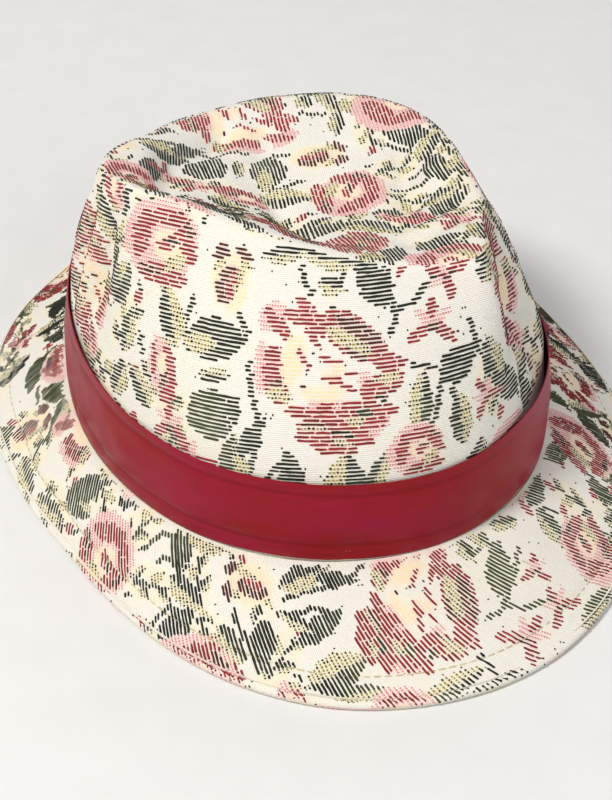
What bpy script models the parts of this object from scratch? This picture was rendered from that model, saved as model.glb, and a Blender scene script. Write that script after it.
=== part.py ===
"""Short-brim fabric trilby (a soft fedora): sewn crown, snap-down brim, satin band, lining and sweatband.

Metres, +Z up. The wearer's face looks along -Y and +X is on the right of someone facing the hat.
An azimuth is measured in degrees round the hat from the front (-Y) towards +X.
The origin is on the surface that the hat rests on, under the middle of its outline.
"""
import math

import bmesh
import bpy
import numpy as np
from mathutils import Vector

MM = 0.001

# Head opening, measured on the outside of the crown where the brim joins it
HEAD_HALF_LENGTH = 104 * MM
HEAD_HALF_WIDTH = 84 * MM
HEAD_OVAL_POWER = 2.08

# Cloth layers, from the outside in, with the clearance between neighbours
GAP = 0.3 * MM
SHELL = 0.9 * MM
INTERFACING = 0.6 * MM
LINING = 0.4 * MM
SWEATBAND = 0.9 * MM
RIBBON = 0.4 * MM
THREAD_RADIUS = 0.28 * MM
INTERFACING_DEPTH = SHELL + GAP
LINING_DEPTH = INTERFACING_DEPTH + INTERFACING + GAP
SWEATBAND_FACE = LINING_DEPTH + LINING + 2 * GAP

# Heights above the table
BRIM_STACK = 3 * SHELL + 2 * GAP
JOIN_BOTTOM = 20.8 * MM
JOIN_TOP = JOIN_BOTTOM + BRIM_STACK
RIBBON_LIFT = 0.6 * MM
RIBBON_HEIGHT = 29 * MM
RIBBON_TAPER = 1.8 * MM
SWEATBAND_HEIGHT = 30 * MM
SWEATBAND_STITCH_HEIGHT = 2.5 * MM
SEAM_TAPE_HEIGHT = 5 * MM

# The rim, where the side band meets the tip: azimuth, distance from the axis, height above the join (mm)
RIM = [
    (-150, 66, 70), (-128, 63, 75.5), (-108, 66.5, 82), (-90, 70, 88), (-72, 68.5, 93),
    (-61, 66.5, 96), (-50, 62, 95.5), (-36, 59, 93), (-20, 59, 90), (-4, 61.5, 87),
    (12, 66.5, 84), (23, 72, 84), (30, 76, 85), (37, 72, 84), (48, 64.5, 80.5),
    (62, 59, 77), (90, 55, 75), (118, 58, 74), (140, 63, 72), (180, 66, 69),
]

# The edge of the brim: azimuth, horizontal width from the join, height above the table (mm)
BRIM_EDGE = [
    (-146, 31, 2), (-124, 32, 0), (-104, 30, 0), (-88, 26, 0), (-70, 23, 0), (-58, 22, 0), (-45, 26, 0),
    (-33, 32, 0), (-20, 38.5, 0), (-8, 43, 0), (6, 44.5, 0), (20, 44, 0), (36, 41.5, 0), (60, 39.5, 0),
    (80, 38, 0), (95, 36.5, 0), (110, 34, 0), (128, 32, 0), (146, 31, 2), (164, 30, 14), (180, 29, 21),
    (196, 30, 14),
]

# Finger pinches on the side band: azimuth at the top and at the band, height above the join (mm),
# depth (mm), half-width (degrees) and half-height (mm)
PINCHES = [
    (47, 44, 52, 9.0, 13, 22),
    (-73, -80, 56, 5.0, 10, 24),
]

# Dent in the tip: place of its lowest point and its height above the join (mm)
DENT_X = -8 * MM
DENT_Y = 2 * MM
DENT_FLOOR = 65 * MM

# Mesh rows; every layer uses the same ones, so the layers stay nested
AZIMUTH_STEPS = 48
BAND_ROWS = (6 * MM, 16 * MM)
WALL_ROWS = (0.22, 0.45, 0.68, 0.88)
TIP_ROWS = (0.88, 0.70, 0.48, 0.24)
BRIM_ROWS = (0.5, 0.16, 0.0)
BRIM_LAND = 2.6 * MM
STITCH_INSET = 9 * MM

# The ribbon, in degrees: half the slit between its ends, the cover over them, and its hand stitches
RIBBON_END_GAP = 0.35
JOIN_COVER_HALF_ANGLE = 4
TACK_AZIMUTHS = (-140, -78, -4, 34, 84, 146)

# Blank label: width, thickness and height, its middle above the join, and its clearance
LABEL_SIZE = (16 * MM, 0.4 * MM, 12 * MM)
LABEL_HEIGHT = 11 * MM
LABEL_CLEARANCE = 1.7 * MM

COLLECTION = "trilby_hat"


def around(keys, column, azimuth):
    """A smooth closed curve through a table's column, read at azimuths in degrees; metres."""
    table = np.array(keys, float)
    place = table[:, 0]
    value = table[:, column] * MM
    place = np.concatenate([place[-3:] - 360, place, place[:3] + 360])
    value = np.concatenate([value[-3:], value, value[:3]])
    slope = np.gradient(value, place)
    wrapped = (np.asarray(azimuth, float) - table[0, 0]) % 360 + table[0, 0]
    left = np.searchsorted(place, wrapped, side="right") - 1
    span = place[left + 1] - place[left]
    t = (wrapped - place[left]) / span
    return (
        (1 + 2 * t) * (1 - t) ** 2 * value[left]
        + t * (1 - t) ** 2 * span * slope[left]
        + t * t * (3 - 2 * t) * value[left + 1]
        + t * t * (t - 1) * span * slope[left + 1]
    )


def oval(azimuth):
    """Distance from the axis to the outside of the crown at the join."""
    a = np.radians(azimuth)
    across = np.abs(np.sin(a)) / HEAD_HALF_WIDTH
    along = np.abs(np.cos(a)) / HEAD_HALF_LENGTH
    return (across ** HEAD_OVAL_POWER + along ** HEAD_OVAL_POWER) ** (-1 / HEAD_OVAL_POWER)


def polar(azimuth, radius, height):
    """Points from azimuths in degrees, distances from the axis and heights above the table."""
    a = np.radians(azimuth)
    return np.stack([radius * np.sin(a), -radius * np.cos(a), radius * 0 + height], axis=-1)


def wrap(angle):
    return (np.asarray(angle) + 180) % 360 - 180


AZIMUTHS = np.arange(AZIMUTH_STEPS) * 360 / AZIMUTH_STEPS
RIM_RADIUS = around(RIM, 1, AZIMUTHS)
RIM_HEIGHT = around(RIM, 2, AZIMUTHS)


def pinch(azimuth, height):
    """How far the side band is pressed in at a height above the join."""
    depth = np.zeros_like(azimuth)
    for top, low, middle, deepest, half_width, half_height in PINCHES:
        share = np.clip(height / (middle * MM), 0, 1)
        centre = low + (top - low) * share
        across = np.exp(-(wrap(azimuth - centre) / half_width) ** 2)
        up = np.exp(-((height - middle * MM) / (half_height * MM)) ** 2)
        depth = depth + deepest * MM * across * up
    return depth * np.clip(height / (20 * MM), 0, 1)


def wall_row(height, depth=0.0):
    """One level of the side band below the top of the ribbon, at a height above the join's top.

    A depth gives the same level of something that lies inside the side band.
    """
    radius = oval(AZIMUTHS) - (RIBBON_TAPER + GAP) * height / RIBBON_HEIGHT - depth
    return polar(AZIMUTHS, radius - pinch(AZIMUTHS, np.full_like(AZIMUTHS, height)), JOIN_TOP + height)


def wall_share(share):
    """One row of the side band above the ribbon: share 0 is the top of the ribbon and 1 is the rim."""
    height = RIBBON_HEIGHT + (RIM_HEIGHT - RIBBON_HEIGHT) * share
    start = oval(AZIMUTHS) - RIBBON_TAPER - GAP
    radius = start - (start - RIM_RADIUS) * share ** 1.6
    return polar(AZIMUTHS, radius - pinch(AZIMUTHS, height), JOIN_TOP + height)


def tip_row(share):
    """One row of the tip: share 1 is the rim and 0 is the lowest point of the dent."""
    rim = polar(AZIMUTHS, RIM_RADIUS, RIM_HEIGHT)
    middle = np.array([DENT_X, DENT_Y, 0])
    flat = middle + (rim - middle) * share
    bowl = share ** 2 * (1.6 - 0.6 * share ** 2)
    flat[:, 2] = DENT_FLOOR + (RIM_HEIGHT - DENT_FLOOR) * bowl + JOIN_TOP
    return flat


def inset(row, neighbour, distance):
    """A row moved along the surface towards its neighbour by a distance."""
    step = neighbour - row
    length = np.linalg.norm(step, axis=1, keepdims=True)
    return row + step / length * distance


def brim_row(share):
    """One row of the underside of the brim: share 0 is at the crown and 1 is where the flat land starts."""
    start = oval(AZIMUTHS) + 2 * GAP
    end = oval(AZIMUTHS) + around(BRIM_EDGE, 1, AZIMUTHS) - BRIM_LAND
    edge = np.clip(around(BRIM_EDGE, 2, AZIMUTHS), 0, None)
    fall = share ** 1.25 * (1.3 - 0.3 * share)
    return polar(AZIMUTHS, start + (end - start) * share, JOIN_BOTTOM + (edge - JOIN_BOTTOM) * fall)


def brim_edge_row():
    """The outer edge of the underside of the brim; the land before it is level where the hat rests."""
    radius = oval(AZIMUTHS) + around(BRIM_EDGE, 1, AZIMUTHS)
    edge = np.clip(around(BRIM_EDGE, 2, AZIMUTHS), 0, None)
    return polar(AZIMUTHS, radius, edge)


EDGE_BOX = brim_edge_row()
CENTRE = np.array([
    (EDGE_BOX[:, 0].min() + EDGE_BOX[:, 0].max()) / 2,
    (EDGE_BOX[:, 1].min() + EDGE_BOX[:, 1].max()) / 2,
    0,
])


def normals(rows):
    """Outward normals of a grid of rows that run round the hat, one for each point."""
    grid = np.array(rows)
    along = np.gradient(grid, axis=0)
    round_hat = np.roll(grid, -1, axis=1) - np.roll(grid, 1, axis=1)
    cross = np.cross(round_hat, along)
    return cross / np.linalg.norm(cross, axis=-1, keepdims=True)


def new_object(name, mesh, material, collection):
    thing = bpy.data.objects.new(name, mesh)
    thing.data.materials.append(material)
    collection.objects.link(thing)
    return thing


def add_grid(bm, rows, flip, pole=None):
    """Faces between rows of points round the hat; a pole closes the last row with a fan."""
    grid = [[bm.verts.new(Vector(point - CENTRE)) for point in row] for row in rows]
    count = len(grid[0])

    def face(*corners):
        bm.faces.new(corners[::-1] if flip else corners)

    for lower, upper in zip(grid, grid[1:]):
        for i in range(count):
            j = (i + 1) % count
            face(lower[i], lower[j], upper[j])
            face(lower[i], upper[j], upper[i])
    if pole is not None:
        top = bm.verts.new(Vector(pole - CENTRE))
        for i in range(count):
            face(grid[-1][i], grid[-1][(i + 1) % count], top)
    return grid


def join_edges(bm, outer, inner):
    """The narrow face between the two edges of a layer of cloth."""
    count = len(outer)
    for i in range(count):
        j = (i + 1) % count
        bm.faces.new((outer[i], inner[i], inner[j]))
        bm.faces.new((outer[i], inner[j], outer[j]))


def cloth_layer(name, rows, depth, thickness, made, collection, pole=None, directions=None):
    """A layer of cloth between two depths under a shared surface.

    Every layer moves its points along the same directions, so that nested layers keep their clearance.
    """
    rows = np.array(rows)
    inward = -normals(rows) if directions is None else directions
    down = np.array([0, 0, -1.0])
    mesh = bpy.data.meshes.new(name)
    bm = bmesh.new()
    outer = add_grid(bm, rows + inward * depth, False, None if pole is None else pole + down * depth)
    under = depth + thickness
    inner = add_grid(bm, rows + inward * under, True, None if pole is None else pole + down * under)
    join_edges(bm, outer[0], inner[0])
    if pole is None:
        join_edges(bm, inner[-1], outer[-1])
    bm.to_mesh(mesh)
    bm.free()
    mesh.shade_smooth()
    mesh.set_sharp_from_angle(angle=math.radians(40))
    return new_object(name, mesh, made, collection)


def surface(name, rows, made, collection):
    """An open upright surface through rows of points round the hat."""
    mesh = bpy.data.meshes.new(name)
    bm = bmesh.new()
    add_grid(bm, rows, False)
    bm.to_mesh(mesh)
    bm.free()
    mesh.shade_smooth()
    return new_object(name, mesh, made, collection)


def thicken(thing, thickness):
    """Gives an open surface its thickness, inward from its outer face."""
    solid = thing.modifiers.new("Solidify", "SOLIDIFY")
    solid.thickness = thickness
    solid.offset = -1
    return thing


def material(name, colour, roughness, metallic=0.0, sheen=0.0):
    made = bpy.data.materials.new(name)
    made.use_nodes = True
    shader = made.node_tree.nodes["Principled BSDF"]
    shader.inputs["Base Color"].default_value = (*colour, 1)
    shader.inputs["Roughness"].default_value = roughness
    shader.inputs["Metallic"].default_value = metallic
    shader.inputs["Sheen Weight"].default_value = sheen
    made.diffuse_color = (*colour, 1)
    return made


def crown_grid(bottom):
    """The outside of the crown from a height over the table to the dent, and its outward directions.

    The direction at the rim is shared by the side band and the tip, so that their layers meet in a mitre.
    """
    wall = [wall_row(height) for height in (bottom - JOIN_TOP, *BAND_ROWS, RIBBON_HEIGHT)]
    wall += [wall_share(share) for share in WALL_ROWS]
    rim = wall_share(1.0)
    tip = [tip_row(share) for share in TIP_ROWS]
    directions = normals(wall + [rim] + tip)
    return wall, rim, tip, directions


def crown_layer(name, depth, thickness, bottom, made, collection):
    """A layer of the side band at a depth under its outer face, from a height up to the rim."""
    wall, rim, _, directions = crown_grid(bottom)
    rows = wall + [inset(rim, wall[-1], GAP)]
    return cloth_layer(name, rows, depth, thickness, made, collection, directions=-directions[: len(rows)])


def tip_layer(name, depth, thickness, made, collection):
    """A layer of the tip at a depth under its upper face."""
    wall, rim, tip, directions = crown_grid(JOIN_BOTTOM)
    rows = [inset(rim, tip[0], GAP)] + tip
    pole = np.array([DENT_X, DENT_Y, DENT_FLOOR + JOIN_TOP])
    return cloth_layer(name, rows, depth, thickness, made, collection, pole, -directions[len(wall):])


def brim_grid():
    """The underside of the brim from its edge to the crown, and the direction of its thickness."""
    land = brim_row(1.0)
    inner = [brim_row(share) for share in BRIM_ROWS]
    rows = [brim_edge_row(), land, inset(land, inner[0], STITCH_INSET - BRIM_LAND)] + inner
    up = normals(rows)
    up[0] = up[1] = up[-1] = (0, 0, 1)
    return np.array(rows), up


def brim_layer(name, lift, thickness, made, collection):
    """A layer of the brim whose underside is a height over the underside of the brim."""
    rows, up = brim_grid()
    return cloth_layer(name, rows, -lift - thickness, thickness, made, collection, directions=-up)


def brim_topstitch(made, collection):
    """The line of stitching that runs round the brim inside its edge."""
    rows, up = brim_grid()
    path = rows[2] + up[2] * (BRIM_STACK + GAP + THREAD_RADIUS)
    return thread_ring("brim_topstitch", path, made, collection)


def inner_band(name, depth, high, thickness, made, collection):
    """An upright ring inside the side band, from the bottom of the crown up to a height over the table."""
    levels = [JOIN_BOTTOM - JOIN_TOP] + [row for row in BAND_ROWS if row < high - JOIN_TOP]
    rows = [wall_row(height, depth) for height in levels + [high - JOIN_TOP]]
    return thicken(surface(name, rows, made, collection), thickness)


def thread_ring(name, points, made, collection):
    """A closed line of thread through a ring of points."""
    curve = bpy.data.curves.new(name, "CURVE")
    curve.dimensions = "3D"
    curve.bevel_depth = THREAD_RADIUS
    curve.bevel_resolution = 0
    spline = curve.splines.new("POLY")
    spline.points.add(len(points) - 1)
    for target, point in zip(spline.points, points - CENTRE):
        target.co = (*point, 1)
    spline.use_cyclic_u = True
    curve.materials.append(made)
    thing = bpy.data.objects.new(name, curve)
    collection.objects.link(thing)
    return thing


def sweatband_stitching(made, collection):
    """The line of stitching along the bottom of the sweatband, on its inner face."""
    radius = oval(AZIMUTHS) - SWEATBAND_FACE - SWEATBAND - 2 * GAP - THREAD_RADIUS
    path = polar(AZIMUTHS, radius, JOIN_BOTTOM + SWEATBAND_STITCH_HEIGHT)
    return thread_ring("sweatband_stitching", path, made, collection)


def ribbon_point(azimuth, stand_off, height):
    """A point over the outer face of the ribbon."""
    outer = RIBBON + GAP + stand_off
    radius = oval(azimuth) + outer - RIBBON_TAPER * (height - JOIN_TOP) / RIBBON_HEIGHT
    return polar(azimuth, radius, height)


def ribbon_strip(name, azimuths, stand_off, made, collection):
    """A strip of ribbon laid round the crown between azimuths, standing off the ribbon's own place."""
    low = JOIN_TOP + RIBBON_LIFT
    mesh = bpy.data.meshes.new(name)
    bm = bmesh.new()
    rows = []
    for height in (low, low + RIBBON_HEIGHT / 2, low + RIBBON_HEIGHT):
        row = ribbon_point(azimuths, stand_off, height) - CENTRE
        rows.append([bm.verts.new(Vector(point)) for point in row])
    for lower, upper in zip(rows, rows[1:]):
        for i in range(len(azimuths) - 1):
            bm.faces.new((lower[i], lower[i + 1], upper[i + 1], upper[i]))
    bm.to_mesh(mesh)
    bm.free()
    mesh.shade_smooth()
    return thicken(new_object(name, mesh, made, collection), RIBBON)


def ribbon_band(made, collection):
    """The satin ribbon: one strip round the crown whose two ends meet at the centre back."""
    back = 180.0
    steps = AZIMUTHS - back + AZIMUTHS[1] / 2
    azimuths = np.concatenate([[RIBBON_END_GAP - back], steps, [back - RIBBON_END_GAP]])
    return ribbon_strip("ribbon_band", azimuths, 0, made, collection)


def ribbon_join_cover(made, collection):
    """The short folded piece of ribbon over the two ends."""
    azimuths = np.linspace(180 - JOIN_COVER_HALF_ANGLE, 180 + JOIN_COVER_HALF_ANGLE, 5)
    return ribbon_strip("ribbon_join_cover", azimuths, RIBBON + GAP, made, collection)


def ribbon_tacks(made, collection):
    """Short hand stitches that hold the ribbon's lower edge to the crown."""
    length = 2.4 * MM
    height = JOIN_TOP + RIBBON_LIFT + 3.2 * MM
    for number, azimuth in enumerate(TACK_AZIMUTHS, start=1):
        name = f"ribbon_tack_{number}"
        mesh = bpy.data.meshes.new(name)
        bm = bmesh.new()
        bmesh.ops.create_cone(
            bm, cap_ends=True, segments=6, radius1=THREAD_RADIUS, radius2=THREAD_RADIUS, depth=length
        )
        bm.to_mesh(mesh)
        bm.free()
        mesh.shade_smooth()
        mesh.set_sharp_from_angle(angle=math.radians(40))
        tack = new_object(name, mesh, made, collection)
        tack.location = Vector(ribbon_point(azimuth, GAP + 2 * THREAD_RADIUS, height) - CENTRE)
        tack.rotation_euler = (0, math.radians(90), math.radians(azimuth))


def size_label(made, collection):
    """A blank woven label on the inside of the sweatband at the centre back."""
    back = oval(180.0) - SWEATBAND_FACE - SWEATBAND - LABEL_CLEARANCE - LABEL_SIZE[1] / 2
    mesh = bpy.data.meshes.new("size_label")
    bm = bmesh.new()
    bmesh.ops.create_cube(bm, size=1)
    bmesh.ops.scale(bm, verts=bm.verts, vec=LABEL_SIZE)
    bm.to_mesh(mesh)
    bm.free()
    label = new_object("size_label", mesh, made, collection)
    label.location = Vector((0, back, JOIN_BOTTOM + LABEL_HEIGHT)) - Vector(CENTRE)
    return label


def main():
    for thing in list(bpy.data.objects):
        bpy.data.objects.remove(thing, do_unlink=True)
    parts = bpy.data.collections.new(COLLECTION)
    bpy.context.scene.collection.children.link(parts)

    tapestry = material("floral_tapestry", (0.80, 0.74, 0.62), 0.85, sheen=0.2)
    canvas = material("interfacing_canvas", (0.72, 0.70, 0.64), 0.9)
    satin = material("red_satin", (0.36, 0.02, 0.035), 0.35, sheen=0.4)
    lining = material("lining_satin", (0.62, 0.57, 0.47), 0.5)
    twill = material("sweatband_twill", (0.55, 0.50, 0.42), 0.8)
    cream_thread = material("cream_thread", (0.75, 0.70, 0.58), 0.7)
    red_thread = material("red_thread", (0.30, 0.02, 0.03), 0.6)
    label = material("label_satin", (0.80, 0.79, 0.75), 0.5)

    crown_layer("crown_side", 0, SHELL, JOIN_BOTTOM, tapestry, parts)
    tip_layer("crown_tip", 0, SHELL, tapestry, parts)
    crown_layer(
        "crown_side_interfacing", INTERFACING_DEPTH, INTERFACING, JOIN_BOTTOM + 2 * MM, canvas, parts
    )
    tip_layer("crown_tip_interfacing", INTERFACING_DEPTH, INTERFACING, canvas, parts)
    crown_layer("lining_side", LINING_DEPTH, LINING, JOIN_BOTTOM + 6.5 * MM, lining, parts)
    tip_layer("lining_tip", LINING_DEPTH, LINING, lining, parts)

    brim_layer("brim_lower", 0, SHELL, tapestry, parts)
    brim_layer("brim_interlining", SHELL + GAP, SHELL, canvas, parts)
    brim_layer("brim_upper", 2 * (SHELL + GAP), SHELL, tapestry, parts)

    ribbon_band(satin, parts)
    ribbon_join_cover(satin, parts)
    ribbon_tacks(red_thread, parts)

    inner_band("sweatband", SWEATBAND_FACE, JOIN_BOTTOM + SWEATBAND_HEIGHT, SWEATBAND, twill, parts)
    inner_band("crown_seam_tape", LINING_DEPTH + GAP, JOIN_BOTTOM + SEAM_TAPE_HEIGHT, LINING, twill, parts)
    size_label(label, parts)

    brim_topstitch(cream_thread, parts)
    sweatband_stitching(cream_thread, parts)


main()
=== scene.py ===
"""Looks of the short-brim fabric trilby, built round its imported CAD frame.

Metres, +Z up; the front of the hat faces -Y and +X is on the right of someone facing it. Surfaces are worked
out round the crown's own axis, with the azimuth in degrees from the front (-Y) towards +X, and moved to the
frame when their meshes are made. Heights are above the table, or above the join of crown and brim where said.
"""
import math

import bpy
import numpy as np
from mathutils import Matrix, Vector
from mathutils.bvhtree import BVHTree


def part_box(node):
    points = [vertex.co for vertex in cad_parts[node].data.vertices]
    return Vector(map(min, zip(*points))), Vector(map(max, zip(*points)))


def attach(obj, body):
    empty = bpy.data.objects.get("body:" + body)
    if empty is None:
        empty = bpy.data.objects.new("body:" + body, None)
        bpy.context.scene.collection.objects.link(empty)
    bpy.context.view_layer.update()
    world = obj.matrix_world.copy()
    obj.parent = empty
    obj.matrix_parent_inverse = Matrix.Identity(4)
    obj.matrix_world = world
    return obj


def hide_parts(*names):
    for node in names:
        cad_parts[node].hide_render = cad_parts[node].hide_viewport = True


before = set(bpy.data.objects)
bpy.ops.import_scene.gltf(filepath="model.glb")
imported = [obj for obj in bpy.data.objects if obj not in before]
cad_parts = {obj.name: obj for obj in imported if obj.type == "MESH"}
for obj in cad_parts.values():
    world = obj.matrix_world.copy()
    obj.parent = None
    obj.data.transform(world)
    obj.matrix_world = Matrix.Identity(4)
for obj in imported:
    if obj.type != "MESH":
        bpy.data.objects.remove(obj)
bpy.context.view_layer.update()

MM = 0.001

# Cloth layers from the outside in, and the clearance between neighbours
GAP = 0.3 * MM
SHELL = 0.9 * MM
INTERFACING = 0.6 * MM
LINING = 0.4 * MM
SWEATBAND = 0.9 * MM
RIBBON = 0.4 * MM
INTERFACING_DEPTH = SHELL + GAP
LINING_DEPTH = INTERFACING_DEPTH + INTERFACING + GAP
SWEATBAND_FACE = LINING_DEPTH + LINING + 2 * GAP
BRIM_STACK = 3 * SHELL + 2 * GAP
SEAM_GAP = 0.12 * MM

# The head opening and the levels, read from the frame
CROWN_LOW, CROWN_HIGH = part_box("crown_side")
AXIS = np.array([(CROWN_LOW.x + CROWN_HIGH.x) / 2, (CROWN_LOW.y + CROWN_HIGH.y) / 2, 0.0])
HEAD_HALF_WIDTH = (CROWN_HIGH.x - CROWN_LOW.x) / 2
HEAD_HALF_LENGTH = (CROWN_HIGH.y - CROWN_LOW.y) / 2
HEAD_OVAL_POWER = 2.08
# Where the soft crown is pressed in from its oval: azimuth, depth, and half-width in degrees
PRESSED_SIDE = (98, 8.5 * MM, 36)
JOIN_BOTTOM = CROWN_LOW.z
JOIN_TOP = JOIN_BOTTOM + BRIM_STACK
RIBBON_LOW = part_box("ribbon_band")[0].z
RIBBON_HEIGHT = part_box("ribbon_band")[1].z - RIBBON_LOW
RIBBON_TAPER = 1.8 * MM
SWEATBAND_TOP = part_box("sweatband")[1].z
SEAM_TAPE_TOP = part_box("crown_seam_tape")[1].z

# The rim, where the side band meets the tip: azimuth, distance from the axis, height above the join (mm)
RIM = [
    (-150, 66, 70), (-128, 63, 75.5), (-108, 66.5, 82), (-90, 70, 88), (-72, 68.5, 93), (-61, 66.5, 96),
    (-50, 62, 95.5), (-36, 59, 93), (-20, 59, 90), (-4, 61.5, 87), (12, 66.5, 84), (23, 72, 84),
    (30, 76, 85), (37, 72, 84), (48, 64.5, 80.5), (62, 58.5, 77), (90, 53, 75.5), (118, 56.5, 75.5),
    (140, 63, 74.5), (180, 66, 70.5),
]

# The edge of the brim: azimuth, horizontal width from the join, height above the table (mm)
BRIM_EDGE = [
    (-146, 31, 2), (-124, 32, 0), (-104, 30, 0), (-88, 26, 0), (-70, 22.5, 0), (-58, 21, 0), (-45, 23.5, 0),
    (-33, 28.5, 0), (-20, 35.5, 0), (-8, 41, 0), (6, 44, 0), (20, 44, 0), (36, 41, 0), (60, 39.5, 0),
    (80, 38, 0), (95, 36.5, 0), (110, 34, 0), (128, 32, 0), (146, 31, 2), (164, 30, 14), (180, 29, 21),
    (196, 30, 14),
]
# The level strip along the edge, the sway of the brim, millimetres of brim to a degree of azimuth, and how
# far the topstitching lies from the edge
BRIM_LAND = 2.6 * MM
BRIM_SWAY = 0.5 * MM
BRIM_ARC = math.radians(110)
STITCH_INSET = 11 * MM

# Finger pinches on the side band: azimuth at the top and at the band, height above the join (mm),
# depth (mm), half-width (degrees) and half-height (mm)
PINCHES = [
    (47, 44, 52, 9.0, 13, 22),
    (-73, -80, 56, 5.0, 10, 24),
]
# The height above the join over which the pinches grow to their full depth
PINCHES_START = 20 * MM

# Dent in the tip: place of its lowest point and its height above the join
DENT_X = -8 * MM
DENT_Y = 2 * MM
DENT_FLOOR = 65 * MM

# Creases and folds of the side band: two ends as (azimuth, height above the join in mm), how far the fold
# stands out (mm, negative where it is pressed in) and its half-width (mm)
WALL_FOLDS = [
    ((-62, 96), (-67, 50), 1.7, 3.6), ((-67, 54), (-84, 26), 1.2, 4.0), ((30, 86), (35, 54), 1.5, 3.4),
    ((35, 58), (42, 30), 0.8, 4.0), ((-73, 80), (-80, 34), -2.1, 2.5), ((-79, 86), (-86, 30), 1.1, 2.8),
    ((-84, 78), (-91, 28), -2.1, 2.5), ((-90, 82), (-97, 34), 1.0, 3.0), ((-97, 72), (-102, 30), -1.6, 3.0),
    ((-76, 50), (-79, 28), -1.4, 2.2), ((46, 51), (36, 70), -2.0, 2.3), ((46, 51), (31, 47), -1.6, 2.3),
    ((46, 51), (38, 30), -1.8, 2.5), ((46, 51), (52, 28), -2.0, 2.5), ((46, 51), (61, 42), -1.8, 2.5),
    ((46, 51), (58, 70), -2.0, 2.5), ((70, 72), (72, 32), -1.1, 3.0), ((79, 70), (84, 36), 0.9, 3.4),
    ((88, 66), (90, 30), -0.9, 3.2), ((120, 66), (112, 34), -0.8, 4.0), ((-132, 68), (-126, 32), -0.9, 4.0),
    ((160, 60), (166, 34), 0.7, 5.0),
]
# Millimetres of side band to a degree of azimuth, and how uneven it is (mm). It lies flat up to a height
# above the join (mm), behind the ribbon, and its folds grow to their full depth over the next stretch (mm)
WALL_ARC = 1.3
WALL_UNEVENNESS = 0.28
FLAT_BELOW = 22
FOLDS_START = 20

# Folds of the tip: two ends as (x, y) round the axis, how far the fold stands up and its half-width (mm)
TIP_FOLDS = [
    ((-4, -47), (-14, 16), -4.6, 5.6), ((-13, -48), (-30, -6), 2.0, 7.0), ((8, -46), (14, -10), 1.8, 8.0),
    ((-57, -27), (-43, 28), -4.2, 5.2), ((-48, 16), (-18, 52), -3.2, 5.2), ((38, 30), (29, -20), -3.6, 6.0),
    ((18, -46), (48, -30), -1.8, 3.4), ((18, -34), (50, -14), -2.0, 3.6), ((20, -20), (50, 2), -2.0, 3.6),
    ((24, -2), (48, 18), -1.6, 3.6), ((30, 12), (46, 34), -1.2, 4.0), ((-12, 26), (-6, 56), -2.2, 6.0),
    ((16, 30), (24, 52), 1.0, 6.0), ((-34, -4), (-24, 30), 1.2, 6.0), ((-30, 30), (-22, 50), -1.4, 4.0),
]
TIP_UNEVENNESS = 0.6

# How much the side band bows out between the ribbon and the rim (1 is straight), and where it is
# straighter: azimuth, by how much, and half-width in degrees
WALL_BOW = 1.6
STRAIGHTER_SIDE = (85, 0.35, 38)

# The grids: columns round the hat, and rows of the side band behind the ribbon and above it, of the tip, of
# the brim and of its edge; the reach in rows and the number of passes that round the rim and the brim off;
# and the coarser step of the inner layers
COLUMNS = 480
WALL_LOW_ROWS = 12
WALL_HIGH_ROWS = 58
TIP_ROWS = 44
BRIM_ROWS = 34
EDGE_ROWS = 7
RIM_ROUNDING = (5, 5)
BRIM_ROUNDING = (7, 9)
INNER_STEP = 2


def around(keys, column, azimuth):
    """A smooth closed curve through a table's column, read at azimuths in degrees; metres."""
    table = np.array(keys, float)
    place = table[:, 0]
    value = table[:, column] * MM
    place = np.concatenate([place[-3:] - 360, place, place[:3] + 360])
    value = np.concatenate([value[-3:], value, value[:3]])
    slope = np.gradient(value, place)
    wrapped = (np.asarray(azimuth, float) - table[0, 0]) % 360 + table[0, 0]
    left = np.searchsorted(place, wrapped, side="right") - 1
    span = place[left + 1] - place[left]
    t = (wrapped - place[left]) / span
    return (
        (1 + 2 * t) * (1 - t) ** 2 * value[left]
        + t * (1 - t) ** 2 * span * slope[left]
        + t * t * (3 - 2 * t) * value[left + 1]
        + t * t * (t - 1) * span * slope[left + 1]
    )


def oval(azimuth):
    """Distance from the axis to the outside of the crown at the join."""
    a = np.radians(azimuth)
    across = np.abs(np.sin(a)) / HEAD_HALF_WIDTH
    along = np.abs(np.cos(a)) / HEAD_HALF_LENGTH
    radius = (across ** HEAD_OVAL_POWER + along ** HEAD_OVAL_POWER) ** (-1 / HEAD_OVAL_POWER)
    centre, depth, half_width = PRESSED_SIDE
    return radius - depth * bell(wrap(azimuth - centre) / half_width)


def polar(azimuth, radius, height):
    a = np.radians(azimuth)
    return np.stack([radius * np.sin(a), -radius * np.cos(a), radius * 0 + height], axis=-1)


def wrap(angle):
    return (np.asarray(angle) + 180) % 360 - 180


def bell(distance):
    """A smooth bump: 1 in its middle, about a third at a distance of 1, and nothing from 3 on."""
    return np.exp(-distance ** 2)


def unit(vectors):
    return vectors / np.maximum(np.linalg.norm(vectors, axis=-1, keepdims=True), 1e-12)


def waves(x, y, shortest, longest, seed, count=9):
    """Smooth unevenness of about -1 to 1 over a plane, from waves of mixed length and heading."""
    random = np.random.default_rng(seed)
    total = 0
    for _ in range(count):
        heading, phase = random.uniform(0, 2 * math.pi, 2)
        length = random.uniform(shortest, longest)
        along = x * math.cos(heading) + y * math.sin(heading)
        total = total + np.sin(2 * math.pi * along / length + phase)
    return total / math.sqrt(count)


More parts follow.
